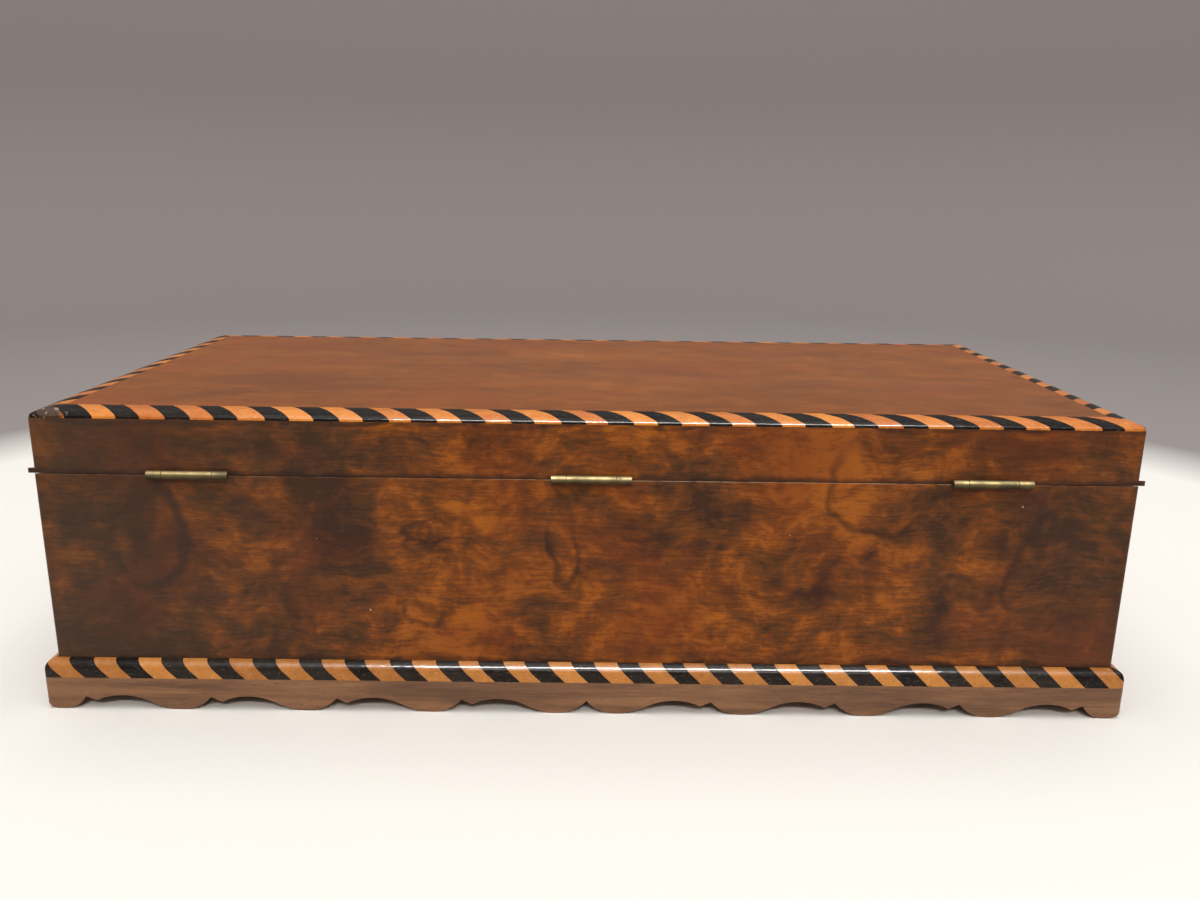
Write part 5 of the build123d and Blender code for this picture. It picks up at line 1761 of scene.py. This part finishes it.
@dataclass
class Case:
    """The case: four mitred walls, and the bottom, ledges, rails and boards inside them."""

    finishes: Finishes
    corner_mm: float = 2.0

    def make(self) -> None:
        """Builds the walls and eases the boards between them."""
        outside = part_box("case_back_wall")[1]
        for side in SIDES:
            MitredBoard(
                f"case_{side}_wall", self.finishes.case_veneers[side], self.finishes.carcase[side],
                Slot.FIGURED_WALNUT, outside.x / MM, outside.y / MM, self.corner_mm,
            ).make()
        along, across = self.finishes.plain, self.finishes.plain_ends
        for node, wood, edge_mm in (
            ("case_bottom_board", along, 0.5),
            ("divider_board", along, 0.5),
            ("flap_ledge_front", along, 0.5),
            ("flap_ledge_left", across, 0.5),
            ("flap_ledge_right", across, 0.5),
            ("front_rail", along, 0.5),
            ("hinge_rail", along, 0.4),
            ("pen_tray", along, 0.7),
            ("inkwell_shelf_left", along, 0.5),
            ("inkwell_shelf_right", along, 0.5),
            ("inkwell_partition_left", across, 0.8),
            ("inkwell_partition_right", across, 0.8),
        ):
            eased_node(node, wood, edge_mm, Slot.PLAIN_WALNUT)


@dataclass
class Plinth:
    """The plinth: four mitred boards with a scalloped apron, and a block banding on top."""

    finishes: Finishes
    straight: float = 3.4
    projection: float = 5.0
    block_pitch: float = 21.75
    block_start: float = 9.3
    corner_mm: float = 2.5
    seed: int = 23

    def banding(self) -> BlockBanding:
        """Banding over the apron; its blocks are cut across the face at 45 degrees.

        Returns:
            The banding. Its profile is an upright and an arc that leans in until it has crossed
            the plinth's projection.
        """
        low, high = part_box("plinth_banding_boxwood_blocks")
        base, top = low.z / MM, high.z / MM
        rise = top - base - self.straight
        radius = (rise**2 + self.projection**2) / (2 * self.projection)
        flat = np.linspace(0, self.straight, 5)[:-1]
        turn = np.linspace(0, 2 * math.atan2(self.projection, rise), 11)
        depth = np.concatenate([np.zeros(len(flat)), radius * (1 - np.cos(turn))])
        height = np.concatenate([flat, self.straight + radius * np.sin(turn)])
        outer = np.stack([np.minimum(depth, self.projection), base + height], -1)
        bed = np.stack([np.full(len(outer), self.projection), outer[:, 1]], -1)
        return BlockBanding(
            "plinth_banding", "case", high.x / MM, high.y / MM, self.block_pitch, self.block_start,
            outer, bed, height, height, self.seed, self.finishes.worn_boxwood,
            self.finishes.worn_ebony, corner_radius=self.corner_mm,
        )

    def make(self) -> None:
        """Builds the banding and the four boards."""
        self.banding().make()
        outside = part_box("plinth_back")[1]
        for side in SIDES:
            wood = self.finishes.carcase[side]
            MitredBoard(
                f"plinth_{side}", wood, wood, Slot.PLAIN_WALNUT,
                outside.x / MM, outside.y / MM, self.corner_mm,
            ).make()


@dataclass
class Fittings:
    """What is fitted to the box: the writing flap, the hinges, the inkwells, the lock and screws."""

    finishes: Finishes

    def make(self) -> None:
        """Eases the arrises of the fittings, and dresses their pins."""
        dull, satin, rubbed = self.finishes.brass, self.finishes.satin_brass, self.finishes.rubbed_brass
        leaves = tuple(
            f"lid_hinge_{place}_{leaf}"
            for place in ("left", "centre", "right")
            for leaf in ("lid_leaf", "case_leaf")
        )
        for slot, material, edge_mm, nodes in (
            (Slot.PLAIN_WALNUT, self.finishes.plain, 0.5, ("writing_flap",)),
            (Slot.TOOLED_LEATHER, self.finishes.leather, 0.2, ("flap_leather",)),
            (Slot.BRASS, satin, 0.12, ("flap_hinge_fixed_leaves", "flap_hinge_moving_leaves")),
            (Slot.TARNISHED_BRASS, dull, 0.12, leaves),
            (Slot.INK_GLASS, self.finishes.glass, 0.6, ("inkwell_glass_left", "inkwell_glass_right")),
            (Slot.BRASS, rubbed, 0.2, ("inkwell_cap_left", "inkwell_cap_right")),
            (Slot.BRASS, rubbed, 0.15, ("inkwell_collar_left", "inkwell_collar_right")),
            (Slot.BRASS, satin, 0.15, ("lock_case", "lock_bolt", "lock_link_plate")),
            (Slot.TARNISHED_BRASS, satin, 0.2, ("keyhole_escutcheon",)),
            (Slot.BRASS, satin, 0.08, ("lid_screws", "case_screws", "flap_screws")),
        ):
            for node in nodes:
                eased_node(node, material, edge_mm, slot)
        dress("lid_hinge_pins", dull)
        dress("flap_hinge_pins", satin)
        dress("inkwell_cap_pins", rubbed)


def main() -> None:
    """Builds the studio, the finishes and the sub-assemblies."""
    logging.basicConfig(level=logging.INFO, format="%(message)s")
    Studio().set_up()
    finishes = Finishes()
    for assembly in (Lid(finishes), Case(finishes), Plinth(finishes), Fittings(finishes)):
        assembly.make()
        LOG.info("%s: made", type(assembly).__name__)


if __name__ == "__main__":
    main()
